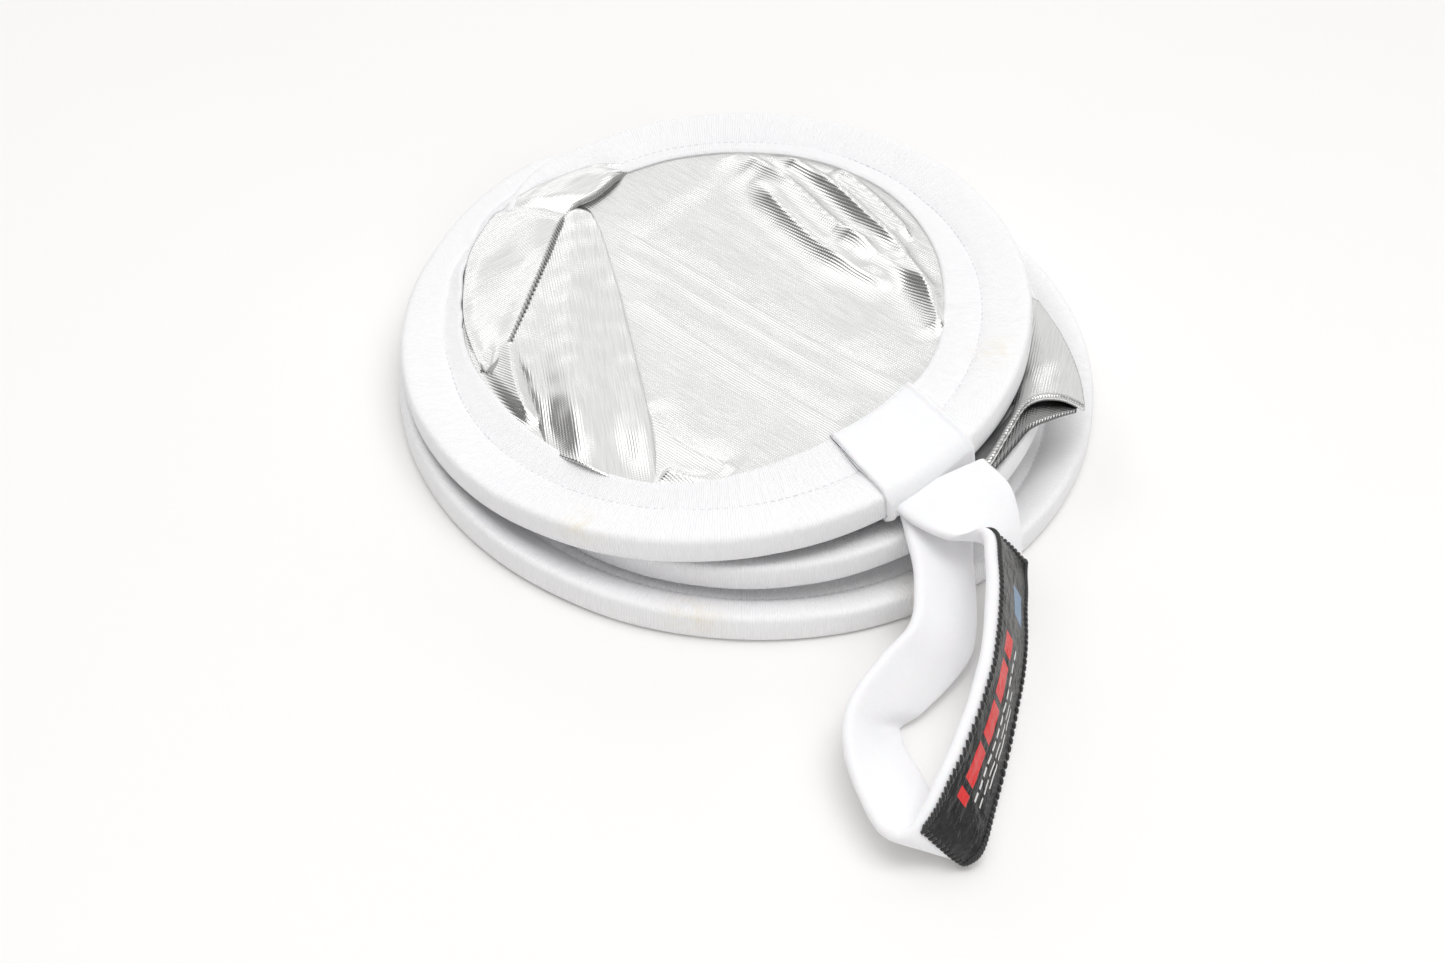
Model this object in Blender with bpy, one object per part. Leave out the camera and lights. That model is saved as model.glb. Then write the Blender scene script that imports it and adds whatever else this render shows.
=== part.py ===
"""A collapsible reflector disc, twisted and folded into three stacked loops.

One flat spring-steel hoop runs on edge inside a sewn rim binding that carries a
silver fabric disc. Folding turns the hoop into three loops, one above another,
whose strands cross at the back left. A cloth cuff on the top loop's rim carries
a soft hand strap with a sewn label. Metres, +Z up.
"""

import math

import bmesh
import bpy
from mathutils import Vector

# The bottom loop's centre, which puts the origin under the middle of the whole object.
CENTRE = Vector((0.0, 0.0550, 0.0))

# Rim binding: a sleeve round the band, which narrows to a flange sewn to the fabric.
RIM_HEIGHT = 0.0134
RIM_CORNER = 0.0014  # rounding of the sleeve's outer edges
RIM_FLAT = 0.006  # how far in the sleeve stays full height
SEAM_IN = 0.021  # the seam line's distance from the outer wall
SEAM_GROOVE = 0.0004  # half the width of the groove that its stitches lie in
CLOTH = 0.0009  # half the flange's thickness
WALL = 0.0011  # the sleeve's cloth
POCKET_IN = 0.0029  # inner side of the pocket that the steel runs in
NARROW = 0.0042  # the sleeve's depth where strands cross and the flange is folded away

# Spring-steel band, set on edge in the middle of the pocket.
STEEL_THICK = 0.0008
STEEL_HEIGHT = 0.0104
JOINT_ANGLE = -90.0  # where the band's ends meet, in a crimped sleeve
JOINT_HALF = 10.0
JOINT_WALL = 0.00036  # of the crimped sleeve
JOINT_EASE = 0.00006  # between the sleeve and the band's faces
JOINT_EDGE_EASE = 0.0001  # between the sleeve and the band's edges

# Each loop: its centre from CENTRE, outer radius, rise to +X and +Y in degrees, the
# binding's depth, and the flange's height at the seam and at its inner edge.
LOOPS = {
    "bottom": ((0.0, 0.0, 0.0), 0.151, (0.0, 0.0), 0.029, 0.0040, 0.0040),
    "middle": ((0.0047, -0.008, 0.0168), 0.125, (4.5, 2.5), 0.026, 0.0067, 0.0067),
    "top": ((-0.0139, 0.0004, 0.0300), 0.135, (6.8, 0.93), 0.031, 0.0097, 0.0112),
}
ORDER = ("bottom", "middle", "top")

# The strand that leaves each loop for the next, clockwise seen from above: the angle where
# it leaves, where it has arrived, and where it passes from one loop's piece to the next.
STRANDS = {
    "bottom": (167.0, 118.0, 143.0),
    "middle": (167.0, 125.0, 146.0),
    "top": (132.0, 100.0, 116.0),
}
# Where each loop's flange ends before the crossing and starts again past it.
FLANGE_FREE = {"bottom": (100.0, 167.0), "middle": (118.0, 168.0), "top": (120.0, 158.0)}
FOLD_AWAY = 12.0  # the flange widens again over this angle
END_GAP = 0.8  # degrees left free at each end of a loop's piece
CROSS_STEPS = 5
ROUND_STEPS = 42

# Near the crossing the top loop's two strands lie side by side: how far each one shifts,
# the angle where the shift starts, and the angle over which it grows.
PASS_IN = 0.0020
PASS_IN_START = 100.0
PASS_IN_OVER = 18.0
PASS_OUT = 0.0026
PASS_OUT_AFTER = 28.0  # past the angle where the strand leaves
PASS_OUT_OVER = 25.0
CLIMB_LATE = 0.35  # the bottom loop's strand stays low for this share of its crossing
CLIMB_EARLY = 0.6  # the middle loop's strand is up by this share of its crossing

# Fabric panels and the seam's thread.
GAP = 0.0003
FABRIC_THICK = 0.0010
FABRIC_SAG = 0.0022
FABRIC_RINGS = (1.0, 0.66, 0.33)  # shares of the panel's radius
THREAD = 0.0005
THREAD_LIFT = 0.0010
THREAD_SUNK = 0.6  # how much of its radius the thread stands clear of the cloth

# Cuff round the top rim.
CUFF_ANGLE = -47.0
CUFF_HALF = 10.0  # degrees
CUFF_WALL = 0.0018
CUFF_EASE = 0.0004
CUFF_OVER_SEAM = 0.0014  # room for the rim's line of stitching
CUFF_IN = 0.029

# Hand strap.
STRAP_WIDTH = 0.038
STRAP_THICK = 0.0042
KNUCKLE = 0.0068  # radius of the collar's rounded root, which the strap swings on
KNUCKLE_OUT = 0.0102  # from the rim's outer wall to the swing axis
KNUCKLE_ARC = (72, 288)  # degrees of the knuckle's round, from the outward direction
KNUCKLE_POINTS = 10
COLLAR_HALF = 0.0215
# The collar's open mouth, from CENTRE: its two front corners, and half its height.
COLLAR_MOUTH = ((0.0660, -0.1205, 0.0400), (0.1080, -0.1205, 0.0400))
COLLAR_RISE = 0.0115

# The strap's run from its right end round the tip to its left end: the middle of the
# top edge and of the bottom edge at each place, from CENTRE.
STRAP_RUN = (
    ((0.0950, -0.1240, 0.0480), (0.1090, -0.1240, 0.0210)),
    ((0.0980, -0.1420, 0.0470), (0.1140, -0.1380, 0.0150)),
    ((0.0980, -0.1700, 0.0430), (0.1150, -0.1640, 0.0090)),
    ((0.0920, -0.2050, 0.0370), (0.1100, -0.1980, 0.0050)),
    ((0.0790, -0.2400, 0.0290), (0.1020, -0.2350, 0.0030)),
    ((0.0650, -0.2570, 0.0210), (0.0940, -0.2560, 0.0028)),
    ((0.0560, -0.2570, 0.0190), (0.0870, -0.2560, 0.0028)),
    ((0.0480, -0.2480, 0.0200), (0.0790, -0.2410, 0.0028)),
    ((0.0410, -0.2300, 0.0270), (0.0730, -0.2160, 0.0028)),
    ((0.0440, -0.2050, 0.0280), (0.0690, -0.1920, 0.0030)),
    ((0.0560, -0.1840, 0.0290), (0.0790, -0.1720, 0.0040)),
    ((0.0660, -0.1650, 0.0310), (0.0860, -0.1560, 0.0060)),
    ((0.0700, -0.1420, 0.0350), (0.0890, -0.1390, 0.0110)),
    ((0.0690, -0.1240, 0.0400), (0.0870, -0.1240, 0.0200)),
)
STRAP_STEPS = 30
STRAP_EDGE = 0.3  # the soft edge's rounding, as a share of the thickness

# Sewn label on the strap's right-hand run.
LABEL_WIDTH = 0.027
LABEL_THICK = 0.0007
LABEL_LIFT = 0.0007  # clear of the strap, which twists under it
LABEL_FROM_TOP = 0.0030
LABEL_STATIONS = range(1, 13)  # of the strap's own steps
STITCH = 0.0009

# Silver fold that hangs out between the middle and top rims at the right.
FOLD_ANGLE = -12.0
FOLD_HALF = 17.0
FOLD_REACH = (0.094, 0.106, 0.146)  # its root, ends and tip, from the middle loop's centre
FOLD_THICK = 0.0016
FOLD_LIFT = 0.0012  # its middle surface over the rim's top
FOLD_BULGE = 0.0025

COLOURS = {
    "binding": ((0.88, 0.87, 0.90), 0.0, 0.8),
    "silver": ((0.80, 0.81, 0.80), 1.0, 0.28),
    "steel": ((0.45, 0.46, 0.48), 1.0, 0.35),
    "thread": ((0.90, 0.90, 0.92), 0.0, 0.7),
    "fleece": ((0.90, 0.89, 0.92), 0.0, 0.95),
    "label": ((0.02, 0.02, 0.025), 0.0, 0.45),
    "black_thread": ((0.03, 0.03, 0.03), 0.0, 0.7),
}


def clear_scene():
    for old in list(bpy.data.objects):
        bpy.data.objects.remove(old, do_unlink=True)


def material(name):
    found = bpy.data.materials.get(name)
    if found:
        return found
    colour, metallic, roughness = COLOURS[name]
    made = bpy.data.materials.new(name)
    made.use_nodes = True
    shader = made.node_tree.nodes["Principled BSDF"]
    shader.inputs["Base Color"].default_value = (*colour, 1.0)
    shader.inputs["Metallic"].default_value = metallic
    shader.inputs["Roughness"].default_value = roughness
    return made


def smooth(t):
    t = min(1.0, max(0.0, t))
    return t * t * (3 - 2 * t)


def bridge(bm, a, b):
    """Faces between two rings of the same number of vertices."""
    for j in range(len(a)):
        k = (j + 1) % len(a)
        bm.faces.new((a[j], a[k], b[k], b[j]))


def build(name, rows, colour):
    """One closed body from rows of rings; each row holds one ring, or an outer and an inner one."""
    bm = bmesh.new()
    rings = [[[bm.verts.new(p) for p in ring] for ring in row] for row in rows]
    for here, there in zip(rings, rings[1:]):
        for a, b in zip(here, there):
            bridge(bm, a, b)
    cap(bm, rings[0])
    cap(bm, rings[-1])
    finish(name, bm, colour)


def cap(bm, row):
    if len(row) == 1:
        bm.faces.new(row[0])
        return
    edges = []
    for ring in row:
        for j in range(len(ring)):
            edges.append(bm.edges.get((ring[j], ring[(j + 1) % len(ring)])))
    bmesh.ops.triangle_fill(bm, use_beauty=True, use_dissolve=False, edges=edges)


def finish(name, bm, colour):
    bmesh.ops.recalc_face_normals(bm, faces=bm.faces)
    mesh = bpy.data.meshes.new(name)
    bm.to_mesh(mesh)
    bm.free()
    mesh.shade_smooth()
    mesh.set_sharp_from_angle(angle=math.radians(35))
    mesh.materials.append(material(colour))
    bpy.context.collection.objects.link(bpy.data.objects.new(name, mesh))


# ---- the folded rim -------------------------------------------------------------------


def circle_frame(loop, degrees, shift=0.0):
    """The rim's outer lower edge at an angle, with the outward and upward directions."""
    middle, radius, rise, *_ = LOOPS[loop]
    slope = Vector((math.tan(math.radians(rise[0])), math.tan(math.radians(rise[1]))))
    normal = Vector((-slope.x, -slope.y, 1.0)).normalized()
    angle = math.radians(degrees)
    flat = Vector((math.cos(angle), math.sin(angle)))
    outward = Vector((flat.x, flat.y, flat.dot(slope)))
    place = CENTRE + Vector(middle) + outward * (radius + shift)
    return place, outward.normalized(), normal


def before(loop):
    return ORDER[ORDER.index(loop) - 1]


def after(loop):
    return ORDER[(ORDER.index(loop) + 1) % 3]


def pass_by(loop, degrees):
    """The top loop's shift where its two strands run side by side: one in, one out."""
    if loop != "top":
        return 0.0
    if degrees > 0:
        return -PASS_IN * smooth((degrees - PASS_IN_START) / PASS_IN_OVER)
    leave = STRANDS["top"][0] - 360
    return PASS_OUT * smooth((leave + PASS_OUT_AFTER - degrees) / PASS_OUT_OVER)


def height_share(loop, u):
    """How far a strand leaving a loop has climbed or dropped, partway through the crossing."""
    if loop == "bottom":
        return smooth((u - CLIMB_LATE) / (1 - CLIMB_LATE))
    if loop == "middle":
        return smooth(u / CLIMB_EARLY)
    return smooth(u)


def strand_frame(loop, degrees):
    """The frame on the strand between a loop and the next one; degrees from 0 to 360."""
    leave, arrive, _ = STRANDS[loop]
    u = (leave - degrees) / (leave - arrive)
    one = circle_frame(loop, degrees, pass_by(loop, degrees - 360))
    two = circle_frame(after(loop), degrees, pass_by(after(loop), degrees))
    share = smooth(u)
    place = one[0].lerp(two[0], share)
    place.z = one[0].z + (two[0].z - one[0].z) * height_share(loop, u)
    outward = one[1].lerp(two[1], share).normalized()
    return place, outward, one[2].lerp(two[2], share).normalized()


def rim_frame(loop, degrees):
    """The rim's frame along a loop's piece, from the end of one strand to the next one's."""
    if degrees > STRANDS[before(loop)][1]:
        return strand_frame(before(loop), degrees)
    if degrees + 360 < STRANDS[loop][0]:
        return strand_frame(loop, degrees + 360)
    return circle_frame(loop, degrees, pass_by(loop, degrees))


def rim_depth(loop, degrees):
    """The binding's depth, which shrinks to the bare sleeve where the strands cross."""
    first, last = FLANGE_FREE[loop]
    past = min(first - degrees, degrees + 360 - last)
    full = LOOPS[loop][3] + pass_by(loop, degrees)
    return NARROW + (full - NARROW) * smooth(past / FOLD_AWAY)


def spread(low, high, steps):
    return [low + (high - low) * k / steps for k in range(steps)]


def rim_angles(loop):
    """Angles clockwise along a loop's piece, closer together on its strands."""
    start = STRANDS[before(loop)][2] - END_GAP
    end = STRANDS[loop][2] - 360 + END_GAP
    first, last = STRANDS[before(loop)][1], STRANDS[loop][0] - 360
    angles = spread(start, first, CROSS_STEPS)
    angles += spread(first, last, ROUND_STEPS)
    return angles + spread(last, end, CROSS_STEPS) + [end]


def place_section(frame, section):
    """Section points, as distance in from the outer wall and height, put on the rim."""
    place, outward, up = frame
    return [place - outward * inward + up * height for inward, height in section]


def rim_section(loop, degrees):
    """The binding's outline and its pocket."""
    depth = rim_depth(loop, degrees)
    full, seam, edge = LOOPS[loop][3:6]
    share = (depth - NARROW) / (full - NARROW)
    flat = NARROW - RIM_CORNER + (RIM_FLAT - NARROW + RIM_CORNER) * share
    line = flat + (SEAM_IN - RIM_FLAT) * share + SEAM_GROOVE
    half = (RIM_HEIGHT / 2 - RIM_CORNER) * (1 - share) + CLOTH * share
    seam = RIM_HEIGHT / 2 + (seam - RIM_HEIGHT / 2) * share
    edge = RIM_HEIGHT / 2 + (edge - RIM_HEIGHT / 2) * share
    inner = max(depth, line + SEAM_GROOVE)
    outline = [
        (0.0, RIM_CORNER),
        (0.0, RIM_HEIGHT - RIM_CORNER),
        (RIM_CORNER, RIM_HEIGHT),
        (flat, RIM_HEIGHT),
        (line, seam + half),
        (inner, edge + half),
        (inner, edge - half),
        (line, seam - half),
        (flat, 0.0),
        (RIM_CORNER, 0.0),
    ]
    pocket = [
        (WALL, WALL),
        (WALL, RIM_HEIGHT - WALL),
        (POCKET_IN, RIM_HEIGHT - WALL),
        (POCKET_IN, WALL),
    ]
    return outline, pocket


def make_binding(loop):
    rows = []
    for degrees in rim_angles(loop):
        frame = rim_frame(loop, degrees)
        rows.append([place_section(frame, part) for part in rim_section(loop, degrees)])
    build(f"rim_binding_{loop}", rows, "binding")


def make_band(loop):
    middle = (WALL + POCKET_IN) / 2
    low = (RIM_HEIGHT - STEEL_HEIGHT) / 2
    near, far = middle - STEEL_THICK / 2, middle + STEEL_THICK / 2
    section = [(near, low), (near, low + STEEL_HEIGHT), (far, low + STEEL_HEIGHT), (far, low)]
    rows = [[place_section(rim_frame(loop, a), section)] for a in rim_angles(loop)]
    build(f"spring_band_{loop}", rows, "steel")


def make_seam_thread(loop):
    """The line of stitching that closes the sleeve, lying in its groove."""
    seam = LOOPS[loop][4] + CLOTH + THREAD_LIFT
    section = []
    for corner in (90, 210, 330):
        angle = math.radians(corner)
        inward = SEAM_IN + SEAM_GROOVE + THREAD * math.cos(angle)
        section.append((inward, seam + THREAD * (math.sin(angle) + THREAD_SUNK)))
    first, last = FLANGE_FREE[loop]
    start, end = first - FOLD_AWAY, last + FOLD_AWAY - 360
    angles = spread(start, end, ROUND_STEPS) + [end]
    rows = [[place_section(circle_frame(loop, a), section)] for a in angles]
    build(f"seam_thread_{loop}", rows, "thread")


def fabric_shell(bm, loop, side):
    """One face of a panel: rings of vertices from its edge inward, and its middle vertex."""
    _, radius, _, depth, _, edge = LOOPS[loop]
    reach = radius - depth - GAP
    rings = []
    for share in FABRIC_RINGS:
        height = edge + side * FABRIC_THICK / 2 - FABRIC_SAG * (1 - share * share)
        section = [(radius - reach * share, height)]
        frames = [circle_frame(loop, 360 * k / ROUND_STEPS) for k in range(ROUND_STEPS)]
        rings.append([bm.verts.new(place_section(frame, section)[0]) for frame in frames])
    middle = sum((v.co for v in rings[-1]), Vector()) / ROUND_STEPS
    return rings, bm.verts.new(middle)


def make_fabric(loop):
    """The silver panel inside one loop, sagging a little from its flange."""
    bm = bmesh.new()
    upper = fabric_shell(bm, loop, 1)
    lower = fabric_shell(bm, loop, -1)
    for rings, middle in (upper, lower):
        for outer, inner in zip(rings, rings[1:]):
            bridge(bm, outer, inner)
        for k, here in enumerate(rings[-1]):
            bm.faces.new((here, rings[-1][(k + 1) % ROUND_STEPS], middle))
    bridge(bm, upper[0][0], lower[0][0])
    finish(f"reflector_fabric_{loop}", bm, "silver")


def make_fabric_fold():
    """Slack silver fabric that hangs out over the middle rim at the right."""
    steps, columns = 8, 6
    root, ends, tip = FOLD_REACH
    rows = []
    for i in range(steps + 1):
        side = 2 * i / steps - 1
        bulge = 1 - side * side
        reach = ends + (tip - ends) * bulge
        upper, lower = [], []
        for j in range(columns + 1):
            t = j / columns
            inward = LOOPS["middle"][1] - root - (reach - root) * t
            rise = RIM_HEIGHT + FOLD_LIFT + FOLD_BULGE * math.sin(math.pi * t) * bulge
            upper.append((inward, rise + FOLD_THICK / 2))
            lower.append((inward, rise - FOLD_THICK / 2))
        frame = circle_frame("middle", FOLD_ANGLE + FOLD_HALF * side)
        rows.append([place_section(frame, upper + lower[::-1])])
    build("fabric_fold", rows, "silver")


def joint_outline(half, ease):
    """A box round the band's section, half its width either side of the band's middle."""
    middle = (WALL + POCKET_IN) / 2
    near, far = middle - half, middle + half
    low = (RIM_HEIGHT - STEEL_HEIGHT) / 2 - ease
    high = (RIM_HEIGHT + STEEL_HEIGHT) / 2 + ease
    return [(near, low), (near, high), (far, high), (far, low)]


def make_band_joint():
    """Crimped steel sleeve over the butted ends of the band, in the bottom loop's pocket."""
    half = STEEL_THICK / 2 + JOINT_EASE
    inside = joint_outline(half, JOINT_EDGE_EASE)
    outside = joint_outline(half + JOINT_WALL, JOINT_WALL)
    rows = []
    for degrees in rim_angles("bottom"):
        if abs(degrees - JOINT_ANGLE) < JOINT_HALF:
            frame = circle_frame("bottom", degrees)
            rows.append([place_section(frame, part) for part in (outside, inside)])
    build("band_joint_sleeve", rows, "steel")


# ---- cuff and strap -------------------------------------------------------------------


def cuff_section():
    """A C round the binding: over its top, down its outer wall and back underneath."""
    _, _, _, _, seam, edge = LOOPS["top"]
    inside = [
        (CUFF_IN, edge + CLOTH),
        (SEAM_IN, seam + CLOTH),
        (RIM_FLAT, RIM_HEIGHT),
        (0.0, RIM_HEIGHT),
        (0.0, 0.0),
        (RIM_FLAT, 0.0),
        (SEAM_IN, seam - CLOTH),
        (CUFF_IN, edge - CLOTH),
    ]
    lines = []
    for ease in (CUFF_EASE, CUFF_EASE + CUFF_WALL):
        line = []
        for k, (inward, height) in enumerate(inside):
            upward = 1 if k < 4 else -1
            shift = -ease if inward == 0.0 else 0.0
            lift = CUFF_OVER_SEAM if k == 1 else 0.0
            line.append((inward + shift, height + upward * ease + lift))
        lines.append(line)
    return lines[1] + lines[0][::-1]


def make_cuff():
    section = cuff_section()
    steps = 6
    rows = []
    for k in range(steps + 1):
        frame = circle_frame("top", CUFF_ANGLE + CUFF_HALF * (2 * k / steps - 1))
        rows.append([place_section(frame, section)])
    build("handle_cuff", rows, "fleece")


def swing_axis():
    """The line that the strap swings on: its middle, its direction, and up and out there."""
    place, outward, up = circle_frame("top", CUFF_ANGLE)
    middle = place + outward * KNUCKLE_OUT + up * RIM_HEIGHT / 2
    return middle, up.cross(outward).normalized(), up, outward


def make_collar():
    """The wrap at the strap's root: a rounded knuckle that opens into the strap's mouth."""
    middle, along, up, outward = swing_axis()
    start, end = KNUCKLE_ARC
    root = []
    for k in range(KNUCKLE_POINTS):
        angle = math.radians(start + (end - start) * k / (KNUCKLE_POINTS - 1))
        root.append(outward * math.cos(angle) * KNUCKLE + up * math.sin(angle) * KNUCKLE)
    front_left, front_right = [CENTRE + Vector(corner) for corner in COLLAR_MOUTH]
    rise = Vector((0.0, 0.0, COLLAR_RISE))
    rows = []
    for side in (-1.0, -0.5, 0.0, 0.5, 1.0):
        base = middle + along * COLLAR_HALF * side
        front = front_left.lerp(front_right, (side + 1) / 2)
        ring = [base + point for point in root]
        rows.append([ring + [front - rise, front + rise]])
    build("handle_collar", rows, "fleece")


def spline(points, t):
    """A Catmull-Rom curve through points, with t from 0 to 1."""
    spans = len(points) - 1
    k = min(int(t * spans), spans - 1)
    f = t * spans - k
    p = [points[min(max(k + j, 0), spans)] for j in (-1, 0, 1, 2)]
    return 0.5 * (
        2 * p[1]
        + (p[2] - p[0]) * f
        + (2 * p[0] - 5 * p[1] + 4 * p[2] - p[3]) * f * f
        + (3 * p[1] - p[0] - 3 * p[2] + p[3]) * f**3
    )


def strap_frame(t):
    """The strap's middle, its direction across towards the top edge, and its outward normal."""
    tops = [CENTRE + Vector(top) for top, _ in STRAP_RUN]
    bottoms = [CENTRE + Vector(bottom) for _, bottom in STRAP_RUN]
    middles = [(a + b) / 2 for a, b in zip(tops, bottoms)]
    middle = spline(middles, t)
    across = (spline(tops, t) - spline(bottoms, t)).normalized()
    step = 0.002
    ahead = (spline(middles, min(1, t + step)) - spline(middles, max(0, t - step))).normalized()
    normal = across.cross(ahead).normalized()
    return middle, across, normal


def strap_outline(width, thick):
    """The strap's section across its run: a flat band with soft edges."""
    half, deep, soft = width / 2, thick / 2, thick * STRAP_EDGE
    return [
        (-half, -deep + soft),
        (-half, deep - soft),
        (-half + soft, deep),
        (half - soft, deep),
        (half, deep - soft),
        (half, -deep + soft),
        (half - soft, -deep),
        (-half + soft, -deep),
    ]


def strap_rows(section, stations):
    """Rows of one section carried along the strap; b counts out from its middle surface."""
    rows = []
    for k in stations:
        middle, across, normal = strap_frame(k / STRAP_STEPS)
        rows.append([[middle + across * a + normal * b for a, b in section]])
    return rows


def make_strap():
    outline = strap_outline(STRAP_WIDTH, STRAP_THICK)
    build("handle_strap", strap_rows(outline, range(STRAP_STEPS + 1)), "fleece")


def make_label():
    top = STRAP_WIDTH / 2 - LABEL_FROM_TOP
    base = STRAP_THICK / 2 + LABEL_LIFT
    section = [
        (top, base),
        (top, base + LABEL_THICK),
        (top - LABEL_WIDTH, base + LABEL_THICK),
        (top - LABEL_WIDTH, base),
    ]
    build("label_patch", strap_rows(section, LABEL_STATIONS), "label")


def make_label_stitching():
    """The overlocked border's two long rows, as one raised line each."""
    top = STRAP_WIDTH / 2 - LABEL_FROM_TOP
    base = STRAP_THICK / 2 + LABEL_LIFT
    for name, edge in (("upper", top + GAP + STITCH), ("lower", top - LABEL_WIDTH - GAP)):
        section = [
            (edge, base),
            (edge, base + STITCH),
            (edge - STITCH, base + STITCH),
            (edge - STITCH, base),
        ]
        build(f"label_stitching_{name}", strap_rows(section, LABEL_STATIONS), "black_thread")


clear_scene()
for loop_name in ORDER:
    make_binding(loop_name)
    make_band(loop_name)
    make_seam_thread(loop_name)
    make_fabric(loop_name)
make_band_joint()
make_fabric_fold()
make_cuff()
make_collar()
make_strap()
make_label()
make_label_stitching()
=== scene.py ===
"""The looks of a collapsible reflector disc, twisted and folded into three stacked loops.

White ribbed rim binding, slack silver cloth inside the loops, a brushed white hand
strap with a black sewn label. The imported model's loops and strands are repeated here in
metres, and every piece is placed from them.
"""

from math import atan2, copysign, cos, exp, hypot, pi, radians, sin, sqrt, tan
from math import degrees as to_degrees

import bmesh
import bpy
import numpy as np
from mathutils import Matrix, Vector, noise

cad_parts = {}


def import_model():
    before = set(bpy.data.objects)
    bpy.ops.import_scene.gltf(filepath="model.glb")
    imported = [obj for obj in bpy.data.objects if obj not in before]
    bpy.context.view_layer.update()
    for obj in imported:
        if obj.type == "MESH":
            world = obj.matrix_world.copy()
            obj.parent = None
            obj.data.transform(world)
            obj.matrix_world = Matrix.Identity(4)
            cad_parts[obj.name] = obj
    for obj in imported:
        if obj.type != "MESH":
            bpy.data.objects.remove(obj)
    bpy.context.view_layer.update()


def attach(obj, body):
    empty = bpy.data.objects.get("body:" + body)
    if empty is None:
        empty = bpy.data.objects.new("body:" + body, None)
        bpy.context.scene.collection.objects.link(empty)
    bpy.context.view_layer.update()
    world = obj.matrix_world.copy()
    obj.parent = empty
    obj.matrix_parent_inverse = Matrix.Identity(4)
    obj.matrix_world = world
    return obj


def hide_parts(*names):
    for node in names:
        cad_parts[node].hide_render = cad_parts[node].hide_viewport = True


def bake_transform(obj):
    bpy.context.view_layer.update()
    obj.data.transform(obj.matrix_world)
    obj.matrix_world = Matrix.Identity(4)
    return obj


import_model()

ORDER = ("bottom", "middle", "top")
UP = Vector((0.0, 0.0, 1.0))
RIM_HEIGHT = 0.0134
MIDDLE = RIM_HEIGHT / 2

# As in the frame, in degrees: where each strand leaves its loop, arrives at the next, and
# is cut.
STRANDS = {
    "bottom": (167.0, 118.0, 143.0),
    "middle": (167.0, 125.0, 146.0),
    "top": (132.0, 100.0, 116.0),
}
# How the top loop's ends shift in and out to pass each other, and over which angles.
PASS_IN = 0.002
PASS_IN_START = 100
PASS_IN_OVER = 18
PASS_OUT = 0.0026
PASS_OUT_AFTER = 28
PASS_OUT_OVER = 25
CLIMB_LATE = 0.35  # the bottom loop's strand stays low for this share of its crossing
CLIMB_EARLY = 0.6  # the middle loop's strand is up by this share of its crossing

# The three loops of the folded rim, as in the frame: centre of the underside, outer
# radius, and rise to +X and +Y in degrees.
CENTRE = Vector((0.0, 0.055, 0.0))
RIMS = {
    "bottom": ((0.0, 0.0, 0.0), 0.151, (0.0, 0.0)),
    "middle": ((0.0047, -0.008, 0.0168), 0.125, (4.5, 2.5)),
    "top": ((-0.0139, 0.0004, 0.03), 0.135, (6.8, 0.93)),
}


def read_loop(loop):
    """A loop's centre on the rim's underside, its normal and its outer radius."""
    middle, radius, rise = RIMS[loop]
    slope = [tan(radians(angle)) for angle in rise]
    return CENTRE + Vector(middle), Vector((-slope[0], -slope[1], 1.0)).normalized(), radius


LOOPS = {loop: read_loop(loop) for loop in ORDER}


def smooth(t):
    t = min(1.0, max(0.0, t))
    return t * t * (3 - 2 * t)


def shares(count):
    """Evenly spaced values from 0 to 1, with count steps between them."""
    return [k / count for k in range(count + 1)]


def part_way(a, b, share):
    return a + (b - a) * share


def bell(distance, width):
    """1 at no distance, falling away to 0 over a few widths."""
    return exp(-((distance / width) ** 2))


def before(loop):
    return ORDER[ORDER.index(loop) - 1]


def after(loop):
    return ORDER[(ORDER.index(loop) + 1) % 3]


def lift(loop, point):
    """Height of the loop's underside plane over a point given from the loop's centre."""
    normal = LOOPS[loop][1]
    return -(normal.x * point[0] + normal.y * point[1]) / normal.z


def circle_frame(loop, degrees, shift=0.0):
    """The rim's outer lower edge, with the outward and upward directions."""
    centre, normal, radius = LOOPS[loop]
    angle = radians(degrees)
    flat = Vector((cos(angle), sin(angle), 0.0))
    outward = Vector((flat.x, flat.y, lift(loop, flat)))
    return centre + outward * (radius + shift), outward.normalized(), normal


def pass_by(loop, degrees):
    """How far out the top loop shifts at an angle, near its two ends."""
    if loop != "top":
        return 0.0
    if degrees > 0:
        return -PASS_IN * smooth((degrees - PASS_IN_START) / PASS_IN_OVER)
    leave = STRANDS["top"][0] - 360
    return PASS_OUT * smooth((leave + PASS_OUT_AFTER - degrees) / PASS_OUT_OVER)


def height_share(loop, u):
    """How much of its climb or drop a strand has made, a share u of the way across."""
    if loop == "bottom":
        return smooth((u - CLIMB_LATE) / (1 - CLIMB_LATE))
    return smooth(u / CLIMB_EARLY) if loop == "middle" else smooth(u)


def strand_frame(loop, degrees):
    """The frame on the strand from a loop to the next one; degrees from 0 to 360."""
    leave, arrive, _ = STRANDS[loop]
    u = (leave - degrees) / (leave - arrive)
    one = circle_frame(loop, degrees, pass_by(loop, degrees - 360))
    two = circle_frame(after(loop), degrees, pass_by(after(loop), degrees))
    share = smooth(u)
    place = one[0].lerp(two[0], share)
    place.z = part_way(one[0].z, two[0].z, height_share(loop, u))
    outward = one[1].lerp(two[1], share).normalized()
    return place, outward, one[2].lerp(two[2], share).normalized()


def rim_frame(loop, degrees):
    """The frame on a loop, or on the strand that runs into or out of it."""
    if degrees > STRANDS[before(loop)][1]:
        return strand_frame(before(loop), degrees)
    if degrees + 360 < STRANDS[loop][0]:
        return strand_frame(loop, degrees + 360)
    return circle_frame(loop, degrees, pass_by(loop, degrees))


# ---- mesh helpers ---------------------------------------------------------------------


def link_object(name, data):
    made = bpy.data.objects.new(name, data)
    bpy.context.collection.objects.link(made)
    return made


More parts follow.
